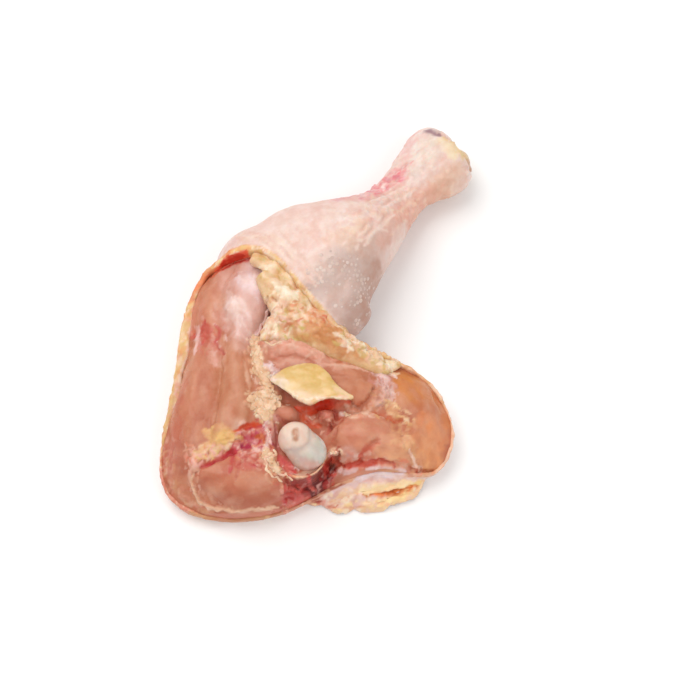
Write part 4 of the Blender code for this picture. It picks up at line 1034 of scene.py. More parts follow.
# Fine torn fibres, flecks of fat and clots, each kind about its own line.
ROSY, PLUM, GOLD = (0.80, 0.42, 0.38), (0.46, 0.05, 0.10), (0.80, 0.54, 0.24)
for line, spread, count, sizes, colours, lift, strength, seed in (
    ([(-27, 1), (-21, -1), (-16, -2)], 7, 120, (0.7, 1.9), (CRIMSON, ROSY, PLUM, (0.84, 0.58, 0.48), (0.70, 0.24, 0.12)), 0.35, 0.8, 61),
    ([(-24, -7), (-19, -9), (-15, -9)], 5, 50, (0.7, 1.6), (CRIMSON, (0.78, 0.44, 0.36), (0.62, 0.16, 0.12)), 0.3, 0.7, 62),
    ([(-46, -7), (-38, -2), (-31, 2)], 4, 90, (0.7, 1.9), (CREAM, GOLD, (0.76, 0.44, 0.32), (0.70, 0.50, 0.20), ROSY), 0.3, 0.75, 63),
    ([(-50, -2), (-46, -6), (-44, -10)], 4, 50, (0.6, 1.4), ((0.70, 0.20, 0.12), (0.82, 0.48, 0.36), ROSY), 0.25, 0.75, 64),
    ([(-47.5, -12), (-45, -16.5), (-42, -22), (-35, -26)], 2.4, 40, (0.6, 1.3), ((0.80, 0.52, 0.42), (0.74, 0.40, 0.30)), 0.2, 0.6, 65),
    ([(-35, -26), (-24, -27), (-12, -26), (-4, -24)], 1.6, 30, (0.7, 1.6), ((0.72, 0.42, 0.26), (0.60, 0.22, 0.12)), 0.15, 0.5, 66),
    ([(-59, 0), (-58, -10), (-52, -19), (-42, -24)], 4, 90, (0.7, 1.8), ((0.70, 0.32, 0.24), (0.80, 0.54, 0.40), (0.60, 0.18, 0.12), (0.66, 0.38, 0.20)), 0.2, 0.42, 67),
    ([(-20, 50), (-20, 42), (-18.4, 34), (-15, 26), (-14, 19)], 3.6, 150, (0.6, 1.5), (CREAM, (0.90, 0.72, 0.60), (0.74, 0.40, 0.28), (0.86, 0.60, 0.40)), 0.4, 0.8, 68),
    ([(-21, 19), (-15, 20), (-9, 19)], 4, 60, (0.7, 1.6), ((0.93, 0.78, 0.62), CREAM, (0.80, 0.50, 0.34)), 0.4, 0.85, 69),
    ([(-18.5, 15), (-15, 12.6), (-12, 10)], 3.6, 50, (0.6, 1.4), ((0.93, 0.78, 0.60), GOLD, (0.80, 0.50, 0.34)), 0.4, 0.85, 70),
    ([(-15, 8), (-14, 2), (-14, -3)], 3, 40, (0.6, 1.4), (ROSY, (0.84, 0.58, 0.56), PLUM, (0.86, 0.66, 0.52)), 0.35, 0.8, 71),
    ([(-15, -4), (-13, -9), (-11, -13), (-7, -14.6)], 3.2, 60, (0.7, 1.9), ((0.90, 0.66, 0.40), (0.84, 0.54, 0.34), (0.92, 0.74, 0.56), (0.66, 0.24, 0.12)), 0.5, 0.85, 72),
    ([(-8, -8), (-5, -11), (-1.5, -12.6)], 2.4, 26, (0.5, 1.1), (CRIMSON, (0.90, 0.66, 0.62), (0.70, 0.10, 0.10)), 0.3, 0.85, 73),
    ([(-10, -15), (-6, -18), (-4, -22), (2, -24)], 4, 60, (0.7, 1.6), (CRIMSON, BLOOD, (0.76, 0.36, 0.30), (0.62, 0.14, 0.10)), 0.35, 0.75, 74),
    ([(-18, 44), (-8, 45), (2, 43), (10, 37), (20, 34)], 4, 90, (0.9, 2.4), ((0.82, 0.54, 0.42), (0.64, 0.26, 0.17), (0.76, 0.42, 0.32)), 0.25, 0.6, 75),
    ([(-13, 34), (-10, 30), (-8, 27)], 3.2, 40, (0.7, 1.6), ((0.82, 0.62, 0.62), (0.90, 0.74, 0.66), (0.72, 0.46, 0.42)), 0.3, 0.8, 76),
    ([(32, 34), (36, 31), (38, 27), (38, 22.5), (34.6, 19)], 4.6, 150, (0.7, 1.7), ((0.74, 0.50, 0.49), (0.88, 0.72, 0.69), (0.60, 0.25, 0.20), (0.78, 0.50, 0.44)), 0.35, 0.75, 77),
    ([(38, 20), (40, 15), (44, 12), (47, 10)], 5, 60, (0.6, 1.5), (GOLD, (0.62, 0.30, 0.14), (0.88, 0.62, 0.38), (0.70, 0.36, 0.20)), 0.35, 0.7, 78),
    ([(22, 17), (28, 13), (34, 18)], 4, 40, (0.7, 1.6), ((0.86, 0.62, 0.50), (0.66, 0.24, 0.14), (0.76, 0.40, 0.28)), 0.3, 0.6, 79),
    ([(20, -6), (30, -7), (40, -8), (52, -8)], 3, 70, (0.7, 1.7), ((0.66, 0.16, 0.09), (0.82, 0.58, 0.48), (0.72, 0.32, 0.22)), 0.3, 0.7, 80),
    ([(2, 15), (9, 11), (15, 12)], 6, 60, (0.6, 1.5), ((0.56, 0.14, 0.09), (0.34, 0.05, 0.03), (0.70, 0.38, 0.28), (0.62, 0.20, 0.14)), 0.35, 0.7, 81),
    ([(-46, 54), (-41, 50), (-38, 44)], 5, 70, (0.7, 1.8), ((0.70, 0.14, 0.12), (0.82, 0.50, 0.48), (0.84, 0.62, 0.60), (0.60, 0.12, 0.12)), 0.25, 0.7, 82),
    ([(-30, 66), (-28, 58), (-25, 50)], 8, 60, (0.9, 2.4), ((0.90, 0.74, 0.70), (0.78, 0.54, 0.50), (0.72, 0.42, 0.36)), 0.12, 0.45, 83),
    ([(-22, 78), (-18, 71)], 7, 50, (0.8, 2.0), ((0.80, 0.64, 0.66), (0.66, 0.46, 0.46), (0.86, 0.70, 0.68)), 0.12, 0.5, 84),
    ([(-50, 60), (-53, 40), (-56, 20), (-59, 4)], 2.4, 80, (0.8, 2.2), ((0.76, 0.46, 0.36), (0.60, 0.22, 0.14), (0.68, 0.36, 0.24)), 0.2, 0.4, 85),
    ([(40, 2), (46, 4), (50, 0), (52, -6)], 6, 60, (0.9, 2.2), ((0.80, 0.50, 0.26), (0.70, 0.36, 0.22), (0.76, 0.44, 0.20)), 0.15, 0.45, 86),
):
    paint.dabs(line, spread, count, sizes, colours, lift, strength, seed)
for line, wide, lift, colour, strength in (
    ([(-42.8, 57), (-42, 51), (-41.8, 45.4)], 2.6, -0.4, (0.50, 0.03, 0.03), 0.94),
    ([(-43.6, 52), (-42.6, 48)], 0.9, 0.1, (0.68, 0.10, 0.09), 0.7),
    ([(-46, 57), (-46, 50), (-46.6, 42)], 0.9, 0.2, (0.86, 0.58, 0.56), 0.85),
    ([(-38, 55), (-35.6, 52), (-37.4, 48)], 0.9, -0.3, (0.54, 0.05, 0.07), 0.88),
    ([(-37.6, 48), (-35.6, 44), (-33.6, 40)], 0.7, -0.3, (0.54, 0.09, 0.10), 0.85),
    # A painted shadow along the right side of the pink membrane strand below it.
    ([(-11, 62), (-14.4, 56.4), (-18.4, 49.8)], 1.6, -1.2, (0.52, 0.20, 0.07), 0.9),
    ([(-12.6, 63), (-16, 57), (-20.4, 49.6)], 1.0, 0.6, (0.80, 0.54, 0.54), 0.85),
    ([(-26, -2.6), (-32, -5.4), (-37, -8), (-43, -10.6)], 1.2, -0.8, (0.60, 0.055, 0.075), 0.9),
    ([(-29, 4.8), (-24.6, 6.6), (-20, 8), (-16.4, 7.6)], 0.95, -0.4, (0.66, 0.09, 0.035), 0.95),
    ([(-24.6, -1), (-22.6, -1.6)], 1.3, -0.4, (0.40, 0.01, 0.06), 0.9),
    ([(-28.6, -1), (-28.8, -7), (-29.6, -13.6)], 0.9, -0.5, (0.55, 0.07, 0.075), 0.88),
    ([(-28.8, -8), (-26, -11.6), (-23.4, -12.6)], 0.6, -0.3, (0.55, 0.10, 0.08), 0.7),
    ([(-19, 2.4), (-16, 2.4), (-15.4, 0)], 1.1, -0.4, (0.60, 0.14, 0.04), 0.85),
    ([(-6, -17.6), (-3.6, -19.6), (0.6, -20)], 1.8, -0.3, (0.66, 0.06, 0.06), 0.85),
    ([(-46, -12.6), (-46.2, -17), (-43, -22), (-38, -24.6), (-28, -27), (-17, -26.4), (-9, -24)], 0.7, 0.4, (0.86, 0.60, 0.42), 0.9),
    ([(-37, -26.4), (-27, -28), (-16, -27.6), (-6, -25)], 0.8, -0.4, (0.44, 0.12, 0.06), 0.8),
    ([(14, -5), (20, -7.6), (28, -7.6), (36, -6.4), (42, -7.8)], 1.1, -0.7, (0.56, 0.075, 0.045), 0.92),
    ([(25, -7), (28.4, -3.4), (31.4, -0.6), (35, 0.6)], 1.2, -0.7, (0.58, 0.09, 0.05), 0.92),
    ([(29, -9.4), (34, -8.8), (40, -9.6), (46, -9)], 1.1, 0.1, (0.84, 0.68, 0.70), 0.75),
    ([(17, -10.6), (21, -10), (25, -9.6)], 1.0, 0.1, (0.72, 0.50, 0.50), 0.7),
    ([(48, -1), (50, -5), (52.4, -8)], 0.7, 0.3, (0.88, 0.62, 0.50), 0.85),
    ([(31, 15), (36, 13.6), (41, 11.4), (45, 11)], 0.8, -0.6, (0.56, 0.15, 0.07), 0.85),
    ([(-41, 6), (-38, 4.4), (-33, 1.6), (-31, 4), (-35, 7)], 2.6, 0.2, (0.79, 0.50, 0.19), 0.9),
    # The left end of the slit under the ball, painted dark as shade.
    ([(-8, -20), (-3, -20), (3, -20.4)], 0.9, -0.5, (0.40, 0.02, 0.02), 0.8),
    ([(-7, -23), (-3, -22), (-1, -24)], 0.8, -0.3, (0.76, 0.30, 0.26), 0.7),
    ([(54, 12), (59, 9), (61, 3)], 6, 0, (0.80, 0.31, 0.13), 0.75),
    ([(51, 3), (56, -1), (60, -3)], 5, 0, (0.78, 0.33, 0.15), 0.75),
):
    paint.stroke(line, wide, lift, colour, strength, 0.5, 0.9)
# Long grain in the open muscles.
for line, spread, count, seed in (
    ([(-52, 50), (-54, 30), (-56, 8)], 12, 60, 87), ([(-42, 46), (-44, 26), (-48, 6)], 12, 80, 88), ([(-29, 44), (-29, 24), (-31, 8)], 9, 60, 89),
    ([(-44, -15), (-28, -16), (-12, -17)], 12, 80, 90), ([(58, -2), (58, 14), (50, 28)], 10, 70, 91), ([(14, 4), (28, 5), (44, 4)], 9, 60, 92),
    ([(16, 28), (26, 25), (34, 22)], 7, 40, 93), ([(-40, 74), (-38, 62)], 12, 50, 94),
):
    paint.dabs(line, spread, count, (2.2, 5), ((0.66, 0.34, 0.22), (0.50, 0.165, 0.09), (0.60, 0.26, 0.15)), 0.10, 0.30, seed, 0.2)
paint.relief *= step(4.5, 9, points[:, 2]) * paint.where
paint.done()
meat.data.materials.append(raw("raw meat", (0.93, 0.85, 0.80), 900.0, 0.22, 0.26, 0.5, 0.25, 1.6, 0.08))
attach(meat, "root")
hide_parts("meat")

# ------------------------------------------------------------------------------------------------
# The thigh bone. Its cartilage-covered ball stands bare in the hip, with the torn stub of the round
# ligament on top of it. The shaft runs inside the meat to the knee.
# ------------------------------------------------------------------------------------------------
THIGH_SHAFT = [(3, -3, 23, 4.4, 4.4), (-4, 12, 17, 4, 4), (-13, 30, 16, 4, 4), (-20, 48, 17, 4, 4), (-24, 64, 19, 4.4, 4.4)]
HEAD, NECK = np.array((-1.5, 0.5, 30.4, 7.7, 7.6, 7.4)), np.array((3.6, -4.0, 26.0, 8.3, 8.2, 7.8))
ball_steps = [ball(*(HEAD + (NECK - HEAD) * share)) for share in (0, 0.2, 0.4, 0.6, 0.8, 1)]
stub = ball(-1.4, -0.2, 37.3, 1.6, 2.4, 1.2, sides=32)
knee_end = [ball(-29, 64, 18, 6, 8, 8), ball(-21, 65, 18, 6, 8, 8)]
bone = made_by("hip_ball", [skinned(sections(THIGH_SHAFT, 40, 32)), stub] + ball_steps + knee_end, remesh(0.45), soften(8))
paint = Surface(bone, (0.79, 0.62, 0.51), seed=60)
points, facing = paint.points, paint.facing
paint.relief += 0.16 * noise(points, 5, 61) + 0.06 * noise(points, 1.8, 62)
across_neck = points @ np.array((0.62, -0.56, -0.55)) + 17.6
paint.relief -= 0.3 * np.exp(-(((across_neck - 3.6) / 2.0) ** 2)) * step(29, 32, points[:, 2])
paint.tone(step(2.5, 6, across_neck), (0.58, 0.54, 0.46))
# Painted shade on the lower left of the neck, where it turns away from the light.
paint.tone(step(7, 11, across_neck) * step(3, -4, points[:, 0] + points[:, 1]), (0.50, 0.32, 0.25))
for line, wide, lift, colour, strength in (
    ([(-8, 1), (-7, -4), (-3, -8)], 2.6, 0, (0.70, 0.46, 0.38), 0.6),
    ([(-6, 3), (-4, 5.5), (0, 6.5), (4, 5)], 2.0, 0, (0.84, 0.66, 0.55), 0.6),
    ([(4, 2.5), (5, -1), (3, -5), (-2, -6.6)], 0.9, 0, (0.66, 0.50, 0.40), 0.55),
    ([(7, 4), (10.4, 0), (10.6, -5), (7, -9)], 1.6, 0, (0.60, 0.62, 0.58), 0.6),
    ([(-4, -8), (0, -10.6), (4, -11)], 1.8, 0, (0.62, 0.36, 0.28), 0.6),
    ([(-3.2, 1.6), (-1.6, 2.6), (0.2, 1.4), (0, -1.8), (-1.6, -2.8), (-3, -1.6)], 0.6, -0.1, (0.72, 0.48, 0.36), 0.5),
    ([(-1.6, 1.6), (-1.4, -2)], 1.2, 0.1, (0.50, 0.23, 0.13), 0.9),
):
    paint.stroke(line, wide, lift, colour, strength, 0.8, 0.5)
paint.dabs([(-6, 4), (4, -4), (8, -8)], 9, 50, (0.8, 2.0), ((0.84, 0.68, 0.58), (0.62, 0.46, 0.37), (0.66, 0.60, 0.54)), 0.06, 0.35, 63)
for line, wide, colour, strength in (
    ([(0.6, 1.4), (2.6, -1), (2.6, -4)], 1.5, (0.74, 0.48, 0.38), 0.6),
    # A painted highlight along the right edge of the neck.
    ([(7, 4.4), (10, 2), (11.6, -2)], 1.5, (0.92, 0.90, 0.84), 0.8),
    ([(1, -9), (5, -11.2), (9, -10.4)], 1.8, (0.68, 0.40, 0.34), 0.7),
    ([(-3, -5.4), (0, -8), (3, -9.4)], 1.6, (0.56, 0.40, 0.37), 0.55),
    ([(4, -3), (7, -5), (7, -8)], 1.6, (0.55, 0.50, 0.46), 0.5),
):
    paint.stroke(line, wide, 0, colour, strength, 0.8, 1.0)
# The lower edge of the round head, where the neck begins: a shallow groove with painted shade along it.
paint.stroke(
    [(-6.6, -5.2), (-2.4, -6.6), (1.6, -5.6), (4.4, -2.6), (5.2, 1), (4.2, 5)], 1.2, -0.3, (0.55, 0.46, 0.41), 0.5, 0.8, 0.4,
)
paint.done()
bone.data.materials.append(raw("cartilage", (0.96, 0.93, 0.91), 400.0, 0.1, 0.16, 0.3, 0.3, 1.6, 0.2))
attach(bone, "root")
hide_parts("thigh_bone")

# ------------------------------------------------------------------------------------------------
# The shin bone. Its two knuckles show where the foot was cut off at the hock. They are covered by
# thin cartilage and the ends of the tendons.
# ------------------------------------------------------------------------------------------------
SHIN_SHAFT = [
    (-4, 78, 20, 4.4, 4.4), (9, 89, 20, 4, 4), (27, 103, 18, 4, 4), (42, 121, 14.5, 4, 4), (53, 136, 14, 4.4, 4.4),
    (63, 145, 14, 5, 5),
]
hock = made_by(
    "hock_knuckles",
    [
        skinned(sections(SHIN_SHAFT, 40, 32)), ball(-4, 78, 20, 8, 9, 8), ball(62, 149.5, 15.5, 8.5, 8, 9),
        ball(70, 142, 13.5, 8, 7.5, 8.5), ball(76.6, 140.2, 11.5, 2.2, 2.2, 2.6, sides=32),
    ],
    remesh(0.6), soften(4),
)
paint = Surface(hock, (0.80, 0.62, 0.52), seed=70)
points, facing = paint.points, paint.facing
paint.relief += 0.25 * noise(points, 4, 71) + 0.1 * noise(points, 1.8, 72)
for line, wide, lift, colour, strength in (
    ([(56, 153), (60, 157), (66, 154)], 5, 0, (0.82, 0.58, 0.55), 0.8),
    ([(57, 153.6), (60, 152), (63.4, 149.8)], 2.0, -0.7, (0.34, 0.20, 0.23), 0.95),
    ([(64, 152), (67, 149)], 1.8, 0.2, (0.84, 0.60, 0.56), 0.7),
    ([(66, 149.5), (69, 147)], 1.4, -0.7, (0.66, 0.42, 0.28), 0.6),
    ([(70, 146), (74, 143), (76, 139)], 3.4, 0, (0.78, 0.57, 0.28), 0.8),
    ([(73, 137), (76, 134)], 3.0, 0, (0.70, 0.46, 0.33), 0.8),
    ([(77.5, 141), (78.5, 139.5)], 1.6, 0.1, (0.56, 0.30, 0.20), 0.85),
):
    paint.stroke(line, wide, lift, colour, strength, 0.6, 0.8)
paint.done()
hock.data.materials.append(raw("tendon and cartilage", (0.94, 0.88, 0.84), 500.0, 0.25, 0.22, 0.42, 0.25, 1.6, 0.14))
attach(hock, "root")
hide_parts("shin_bone")

# ------------------------------------------------------------------------------------------------
# The fat behind the knee. It is a lumpy mass of soft yellow and cream fat that fills the crook
# between the muscles and the rim of the skin.
# ------------------------------------------------------------------------------------------------
KNEE_FAT = [
    (-17, 76, 35.5, 4.0, 5), (-8, 64, 34.0, 7.5, 6), (2, 53, 33.0, 8.5, 6), (14, 44.5, 30, 6.5, 6),
    (26, 38.5, 26, 4.5, 5), (38, 34.5, 21.5, 3, 4.5),
]
lumps = [
    (-18, 82.5, 36.5, 4.5, 3.6, 3), (-12.5, 77.5, 37.0, 4.5, 5.5, 3), (-6.5, 71, 36.4, 5, 6, 3.2),
    (0.5, 63.5, 35.2, 5, 6, 3.4), (8, 56, 33.6, 5.5, 5.5, 3.6), (16, 49.5, 31, 5.5, 4.2, 3.4),
    (24, 44, 28.2, 5.5, 3.6, 3.2), (31.5, 40.4, 25.2, 5, 3.2, 3), (38.5, 37.4, 22.0, 5, 3, 2.6),
    (-9.6, 66.5, 33.6, 4, 5, 5), (-9, 59.5, 32.8, 4.4, 5, 5), (-6.5, 63, 33.6, 4.6, 5, 5), (-2.6, 58.5, 33, 5, 4.6, 5.4),
    (-12, 52.5, 30.6, 4.4, 4.4, 5.2), (-7, 53, 31, 5, 4.6, 6), (-1, 51, 31, 5, 4.6, 6), (4, 53, 31.4, 5, 4, 6),
    (-14.6, 47.6, 29.4, 3.6, 3, 5), (-8, 47.6, 30, 5, 3, 5.4), (-1, 47, 30.4, 5, 3, 5.2), (7, 48, 30, 6, 3.4, 5.4), (15, 43.4, 28, 6, 3, 4.6),
]
random = np.random.default_rng(11)
for lump in list(lumps):
    for _ in range(7):
        turn, out = random.uniform(0, 2 * math.pi), math.sqrt(random.uniform(0, 0.9))
        x, y = out * math.cos(turn), out * math.sin(turn)
        round_ = random.uniform(1.0, 2.4)
        lumps.append((
            lump[0] + lump[3] * x, lump[1] + lump[4] * y, lump[2] + lump[5] * math.sqrt(1 - out * out) - 0.5 * round_,
            round_ * random.uniform(0.8, 1.6), round_ * random.uniform(0.8, 1.6), 0.8 * round_,
        ))
knee_fat = made_by(
    "knee_fat_lobes",
    [skinned(sections(KNEE_FAT, 60, 40))] + [ball(*lump, sides=16) for lump in lumps],
    remesh(0.5), soften(12),
)
paint = Surface(knee_fat, (0.78, 0.52, 0.31), seed=80)
points, facing = paint.points, paint.facing
paint.relief += 0.3 * noise(points, 4.5, 81) + 0.22 * noise(points, 2.2, 82) + 0.08 * noise(points, 1.1, 83)
paint.tone(step(-0.1, 0.5, noise(points, 3.4, 84)) * 0.7, (0.84, 0.62, 0.42))
paint.tone(step(0.1, 0.6, noise(points, 2.4, 85)) * 0.5, (0.70, 0.44, 0.18))
for line, wide, lift, colour, strength in (
    ([(4, 50), (14, 46), (24, 41.5), (30, 38.5)], 5.5, 0, (0.62, 0.29, 0.12), 0.9),
    ([(8, 47.5), (15, 43), (21, 40)], 3.4, 0, (0.54, 0.22, 0.085), 0.8),
    ([(14, 50), (20, 46.5), (27, 43)], 1.8, 0, (0.70, 0.40, 0.19), 0.7),
    ([(-4, 48.4), (0, 46.4), (4, 46)], 2.6, 0, (0.60, 0.44, 0.13), 0.85),
    ([(3, 56), (8, 54), (11, 52)], 3.0, 0.1, (0.74, 0.40, 0.26), 0.8),
    ([(5, 55.5), (9.5, 53)], 1.1, -0.3, (0.62, 0.17, 0.10), 0.75),
    ([(3, 59.5), (6, 58)], 0.8, -0.2, (0.64, 0.20, 0.12), 0.65),
    ([(7, 51), (9, 50.5)], 0.9, 0.2, (0.86, 0.62, 0.50), 0.7),
    ([(-13, 80), (-9, 74), (-4, 68.5)], 2.0, 0.1, (0.88, 0.68, 0.42), 0.7),
    ([(-15.5, 77), (-12, 72.5)], 1.2, -0.3, (0.60, 0.44, 0.17), 0.7),
    ([(-12, 70), (-8, 67.5), (-2, 64.5), (3, 62)], 2.0, 0.4, (0.92, 0.76, 0.56), 0.9),
    ([(-7, 66), (-3, 61.5)], 1.6, 0.3, (0.93, 0.80, 0.64), 0.8),
    ([(0, 66), (5, 61.5), (9, 58)], 1.5, 0.1, (0.66, 0.42, 0.19), 0.75),
    ([(2, 68), (6, 63.5)], 0.8, -0.2, (0.70, 0.36, 0.18), 0.7),
    ([(-12, 62.5), (-9, 60), (-8, 56.5)], 1.2, -0.8, (0.56, 0.22, 0.10), 0.8),
    ([(-6, 60.5), (-4.5, 57.5)], 0.9, -0.6, (0.60, 0.30, 0.16), 0.75),
    # Painted shade along the fat's left edge, beside the membrane strand.
    ([(-14, 64), (-15.4, 60), (-17, 55)], 1.0, -0.8, (0.52, 0.24, 0.09), 0.8),
    ([(-9, 55.5), (-4, 54), (-2, 56.5)], 1.4, 0.3, (0.88, 0.66, 0.54), 0.85),
    ([(-14, 52.5), (-10, 51.5), (-6, 52)], 1.3, 0.2, (0.84, 0.60, 0.44), 0.8),
    ([(-2.5, 52.5), (0, 50)], 1.4, 0.1, (0.62, 0.47, 0.18), 0.7),
    ([(0, 56.5), (3, 54)], 1.2, 0.2, (0.90, 0.72, 0.54), 0.75),
    ([(-8, 48.5), (-3, 47), (1, 48)], 1.1, 0.1, (0.80, 0.50, 0.34), 0.6),
    ([(24, 42), (29, 39.5), (35, 37)], 1.5, 0.2, (0.86, 0.62, 0.42), 0.75),
    ([(35, 35.5), (40, 34.5), (44, 35)], 1.4, 0.1, (0.84, 0.58, 0.36), 0.75),
):
    paint.stroke(line, wide, lift, colour, strength, 0.5, 1.2)
BUTTER, MILK, OLIVE, RUST = (0.82, 0.58, 0.28), (0.93, 0.80, 0.66), (0.58, 0.42, 0.13), (0.62, 0.22, 0.10)
for line, spread, count, sizes, colours, lift, strength, seed in (
    ([(-20, 83), (-13, 78), (-7, 71)], 6, 60, (1.0, 2.8), (MILK, (0.74, 0.44, 0.22), (0.86, 0.64, 0.46), OLIVE, (0.84, 0.56, 0.40)), 0.15, 0.7, 86),
    ([(-10, 69), (-4, 64), (2, 59)], 7, 80, (1.0, 2.8), (MILK, (0.86, 0.66, 0.48), (0.76, 0.46, 0.30), (0.80, 0.60, 0.42), (0.62, 0.38, 0.16)), 0.12, 0.8, 87),
    ([(-11, 60), (-11, 54), (-13, 48)], 6, 120, (0.9, 2.2), ((0.88, 0.70, 0.56), (0.66, 0.36, 0.20), (0.82, 0.54, 0.44), MILK), 0.2, 0.75, 88),
    ([(-7, 54), (-1, 52), (5, 51)], 7, 90, (0.9, 2.4), ((0.90, 0.68, 0.52), RUST, (0.80, 0.46, 0.30), (0.56, 0.42, 0.12), (0.84, 0.54, 0.44)), 0.2, 0.8, 89),
    ([(3, 57), (8, 53), (13, 50)], 6, 60, (0.8, 2.0), ((0.68, 0.15, 0.07), (0.84, 0.54, 0.38), (0.76, 0.34, 0.15), (0.70, 0.26, 0.13)), 0.2, 0.85, 90),
    ([(2, 48), (12, 46), (22, 42)], 6, 70, (1.4, 3.2), ((0.64, 0.29, 0.12), (0.54, 0.21, 0.08), (0.72, 0.38, 0.18)), 0.2, 0.65, 91),
    ([(18, 46.6), (26, 43.4), (34, 39.4), (41, 36.6)], 4, 120, (0.8, 2.2), (MILK, (0.88, 0.66, 0.46), (0.62, 0.44, 0.16), (0.82, 0.50, 0.36), (0.92, 0.78, 0.64)), 0.3, 0.8, 92),
    # Small white spots of painted highlight on the fat.
    ([(-6.6, 65.6), (-3, 63)], 3, 14, (1.4, 2.6), (MILK, (0.96, 0.86, 0.74)), 0.3, 0.9, 95),
):
    paint.dabs(line, spread, count, sizes, colours, lift, strength, seed, 0.8)
paint.done()
knee_fat.data.materials.append(raw("soft yellow fat", (0.90, 0.84, 0.72), 700.0, 0.3, 0.24, 0.42, 0.28, 1.8, 0.16))
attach(knee_fat, "root")
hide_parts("knee_fat")

# ------------------------------------------------------------------------------------------------
# The leaf of fat in the middle. It is a smooth yellow sheet that lies over the muscles, with a thick
# pale lower edge that hangs free over the red hollow.
# ------------------------------------------------------------------------------------------------
LEAF_TOP = [
    (-13.2, 27.5, 32.6), (-9.0, 30.6, 33.4), (-4.6, 32.8, 34.0), (2.7, 34.2, 34.6), (8.2, 33.2, 34.6), (12, 29.8, 34.6),
    (15.2, 25.6, 34.4), (19, 22, 33.8), (23.4, 19.4, 32.8),
]
LEAF_LOW = [
    (-13, 26.5, 32.4), (-8.6, 23.4, 33.4), (-4.5, 20, 34.2), (-0.5, 17, 34.4), (4.6, 15, 34.2), (9.4, 16.8, 34.6),
    (13.4, 17.6, 34.8), (18, 17.2, 34.0), (23.6, 18.2, 32.4),
]
columns, rows = 110, 60
across = np.linspace(0, 1, columns)[:, None]
down = np.linspace(0, 1, rows)[None, :]
top_line = smooth_line(LEAF_TOP, across[:, 0])[:, None]
low_line = smooth_line(LEAF_LOW, across[:, 0])[:, None]
sheet = top_line + (low_line - top_line) * down[..., None]
sheet[..., 2] += 1.1 * np.sin(math.pi * down) * np.sin(math.pi * across) ** 0.6 + 0.25 * np.sin(13 * across + 4 * down)
thick = 0.5 + 1.5 * np.sin(math.pi * np.clip(down, 0.05, 0.95)) ** 0.7 * np.sin(math.pi * np.clip(across, 0.03, 0.97)) ** 0.5
lip = np.exp(-(((down - 0.95) / 0.06) ** 2)) * step(0.12, 0.3, across)
thick = thick + 1.0 * lip
under = sheet.copy()
sheet[..., 2] += 0.45 * lip + 0.3 * thick
under[..., 2] -= 0.7 * thick
leaf = made_by("fat_leaf_sheet", [skinned(np.concatenate([sheet, under[:, ::-1]], axis=1))], remesh(0.4), soften(4))
paint = Surface(leaf, (0.68, 0.45, 0.16), seed=90)
points, facing = paint.points, paint.facing
paint.relief += 0.14 * noise(points, 4, 91) + 0.06 * noise(points, 1.8, 92)
for line, wide, lift, colour, strength in (
    ([(-10, 27), (-4, 23), (1, 19.5), (8, 19), (14, 20)], 2.6, 0, (0.82, 0.57, 0.30), 0.7),
    ([(2, 30), (8, 28), (12, 24)], 3.0, 0, (0.70, 0.44, 0.14), 0.6),
    ([(-13, 28), (-10, 27.5), (-8, 25)], 2.4, 0, (0.86, 0.62, 0.54), 0.85),
    ([(-9, 24), (-5, 21), (-0.5, 18), (4.6, 16), (10, 17)], 3.2, 0, (0.90, 0.70, 0.53), 0.9),
    ([(-11.4, 26), (-8.6, 24.6), (-5.6, 24)], 3, 0, (0.86, 0.74, 0.70), 0.85),
    ([(4, 15.5), (10, 17), (16, 17.4), (23, 18.5)], 1.0, 0, (0.86, 0.56, 0.40), 0.8),
    ([(15, 22.5), (19, 20.5), (24, 19)], 1.5, 0, (0.82, 0.58, 0.38), 0.85),
    ([(-6, 32.5), (2, 34), (8, 33), (12, 29.5)], 1.0, 0, (0.66, 0.40, 0.18), 0.6),
):
    paint.stroke(line, wide, lift, colour, strength, 0.7, 1.0)
paint.dabs(
    [(-10, 27), (0, 26), (10, 26), (20, 20)], 12, 90, (1.2, 3.4), ((0.80, 0.56, 0.26), (0.66, 0.42, 0.12), (0.84, 0.62, 0.36)),
    0.08, 0.45, 93, 0.3,
)
paint.dabs([(-9, 23.5), (-1, 17), (9, 16.4), (20, 17.6)], 1.6, 60, (0.7, 1.8), ((0.92, 0.76, 0.62), (0.84, 0.54, 0.38)), 0.12, 0.7, 94)
paint.done()
leaf.data.materials.append(raw("firm yellow fat", (0.96, 0.93, 0.84), 500.0, 0.15, 0.2, 0.36, 0.28, 1.8, 0.2))
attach(leaf, "root")
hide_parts("fat_leaf")

# ------------------------------------------------------------------------------------------------
# Torn sinews: the frayed cream strands of the hip socket's capsule, beside the ball, and thin shreds
# at the seam. Each is a soft uneven cord that lies half sunk in the meat.
# ------------------------------------------------------------------------------------------------
meat_surface = BVHTree.FromObject(meat, bpy.context.evaluated_depsgraph_get())


def height_at(x, y):
    """The height of the meat at a place seen from above."""
    found = meat_surface.ray_cast(Vector((x, y, 90)) * MM + hip, Vector((0, 0, -1)))[0]
    return (found.z - hip.z) / MM


SINEWS = [
    # x and y along each strand, then its half width
    ([(-15.5, -1), (-14, -5), (-14.4, -9), (-12, -12.5)], 0.75), ([(-12.4, -3), (-11, -7), (-11.6, -11), (-8.6, -13.6)], 0.8),
    ([(-16.4, -6), (-13, -7.4), (-10.4, -10)], 0.6), ([(-10.4, -12.4), (-6.6, -14), (-3, -15.2)], 0.7), ([(-14.6, -11.4), (-11, -14.6), (-7, -16)], 0.6),
    ([(-14.6, 6.4), (-13.6, 2), (-14.4, -2)], 0.6), ([(12.8, -4.4), (14.6, -3), (16.6, -3.2)], 0.8), ([(-13, 64), (-16, 57.4), (-20, 50.4)], 0.9),
    ([(-17, 47), (-13, 44), (-8, 44.4)], 0.6), ([(-12, 31), (-9.4, 28.4), (-9, 25.4)], 0.6), ([(19, 14.6), (20.6, 13), (22.6, 13.4)], 0.7),
    ([(3, 13.6), (5, 12), (7.4, 12.2)], 0.5),
]
random = np.random.default_rng(21)
strands = []
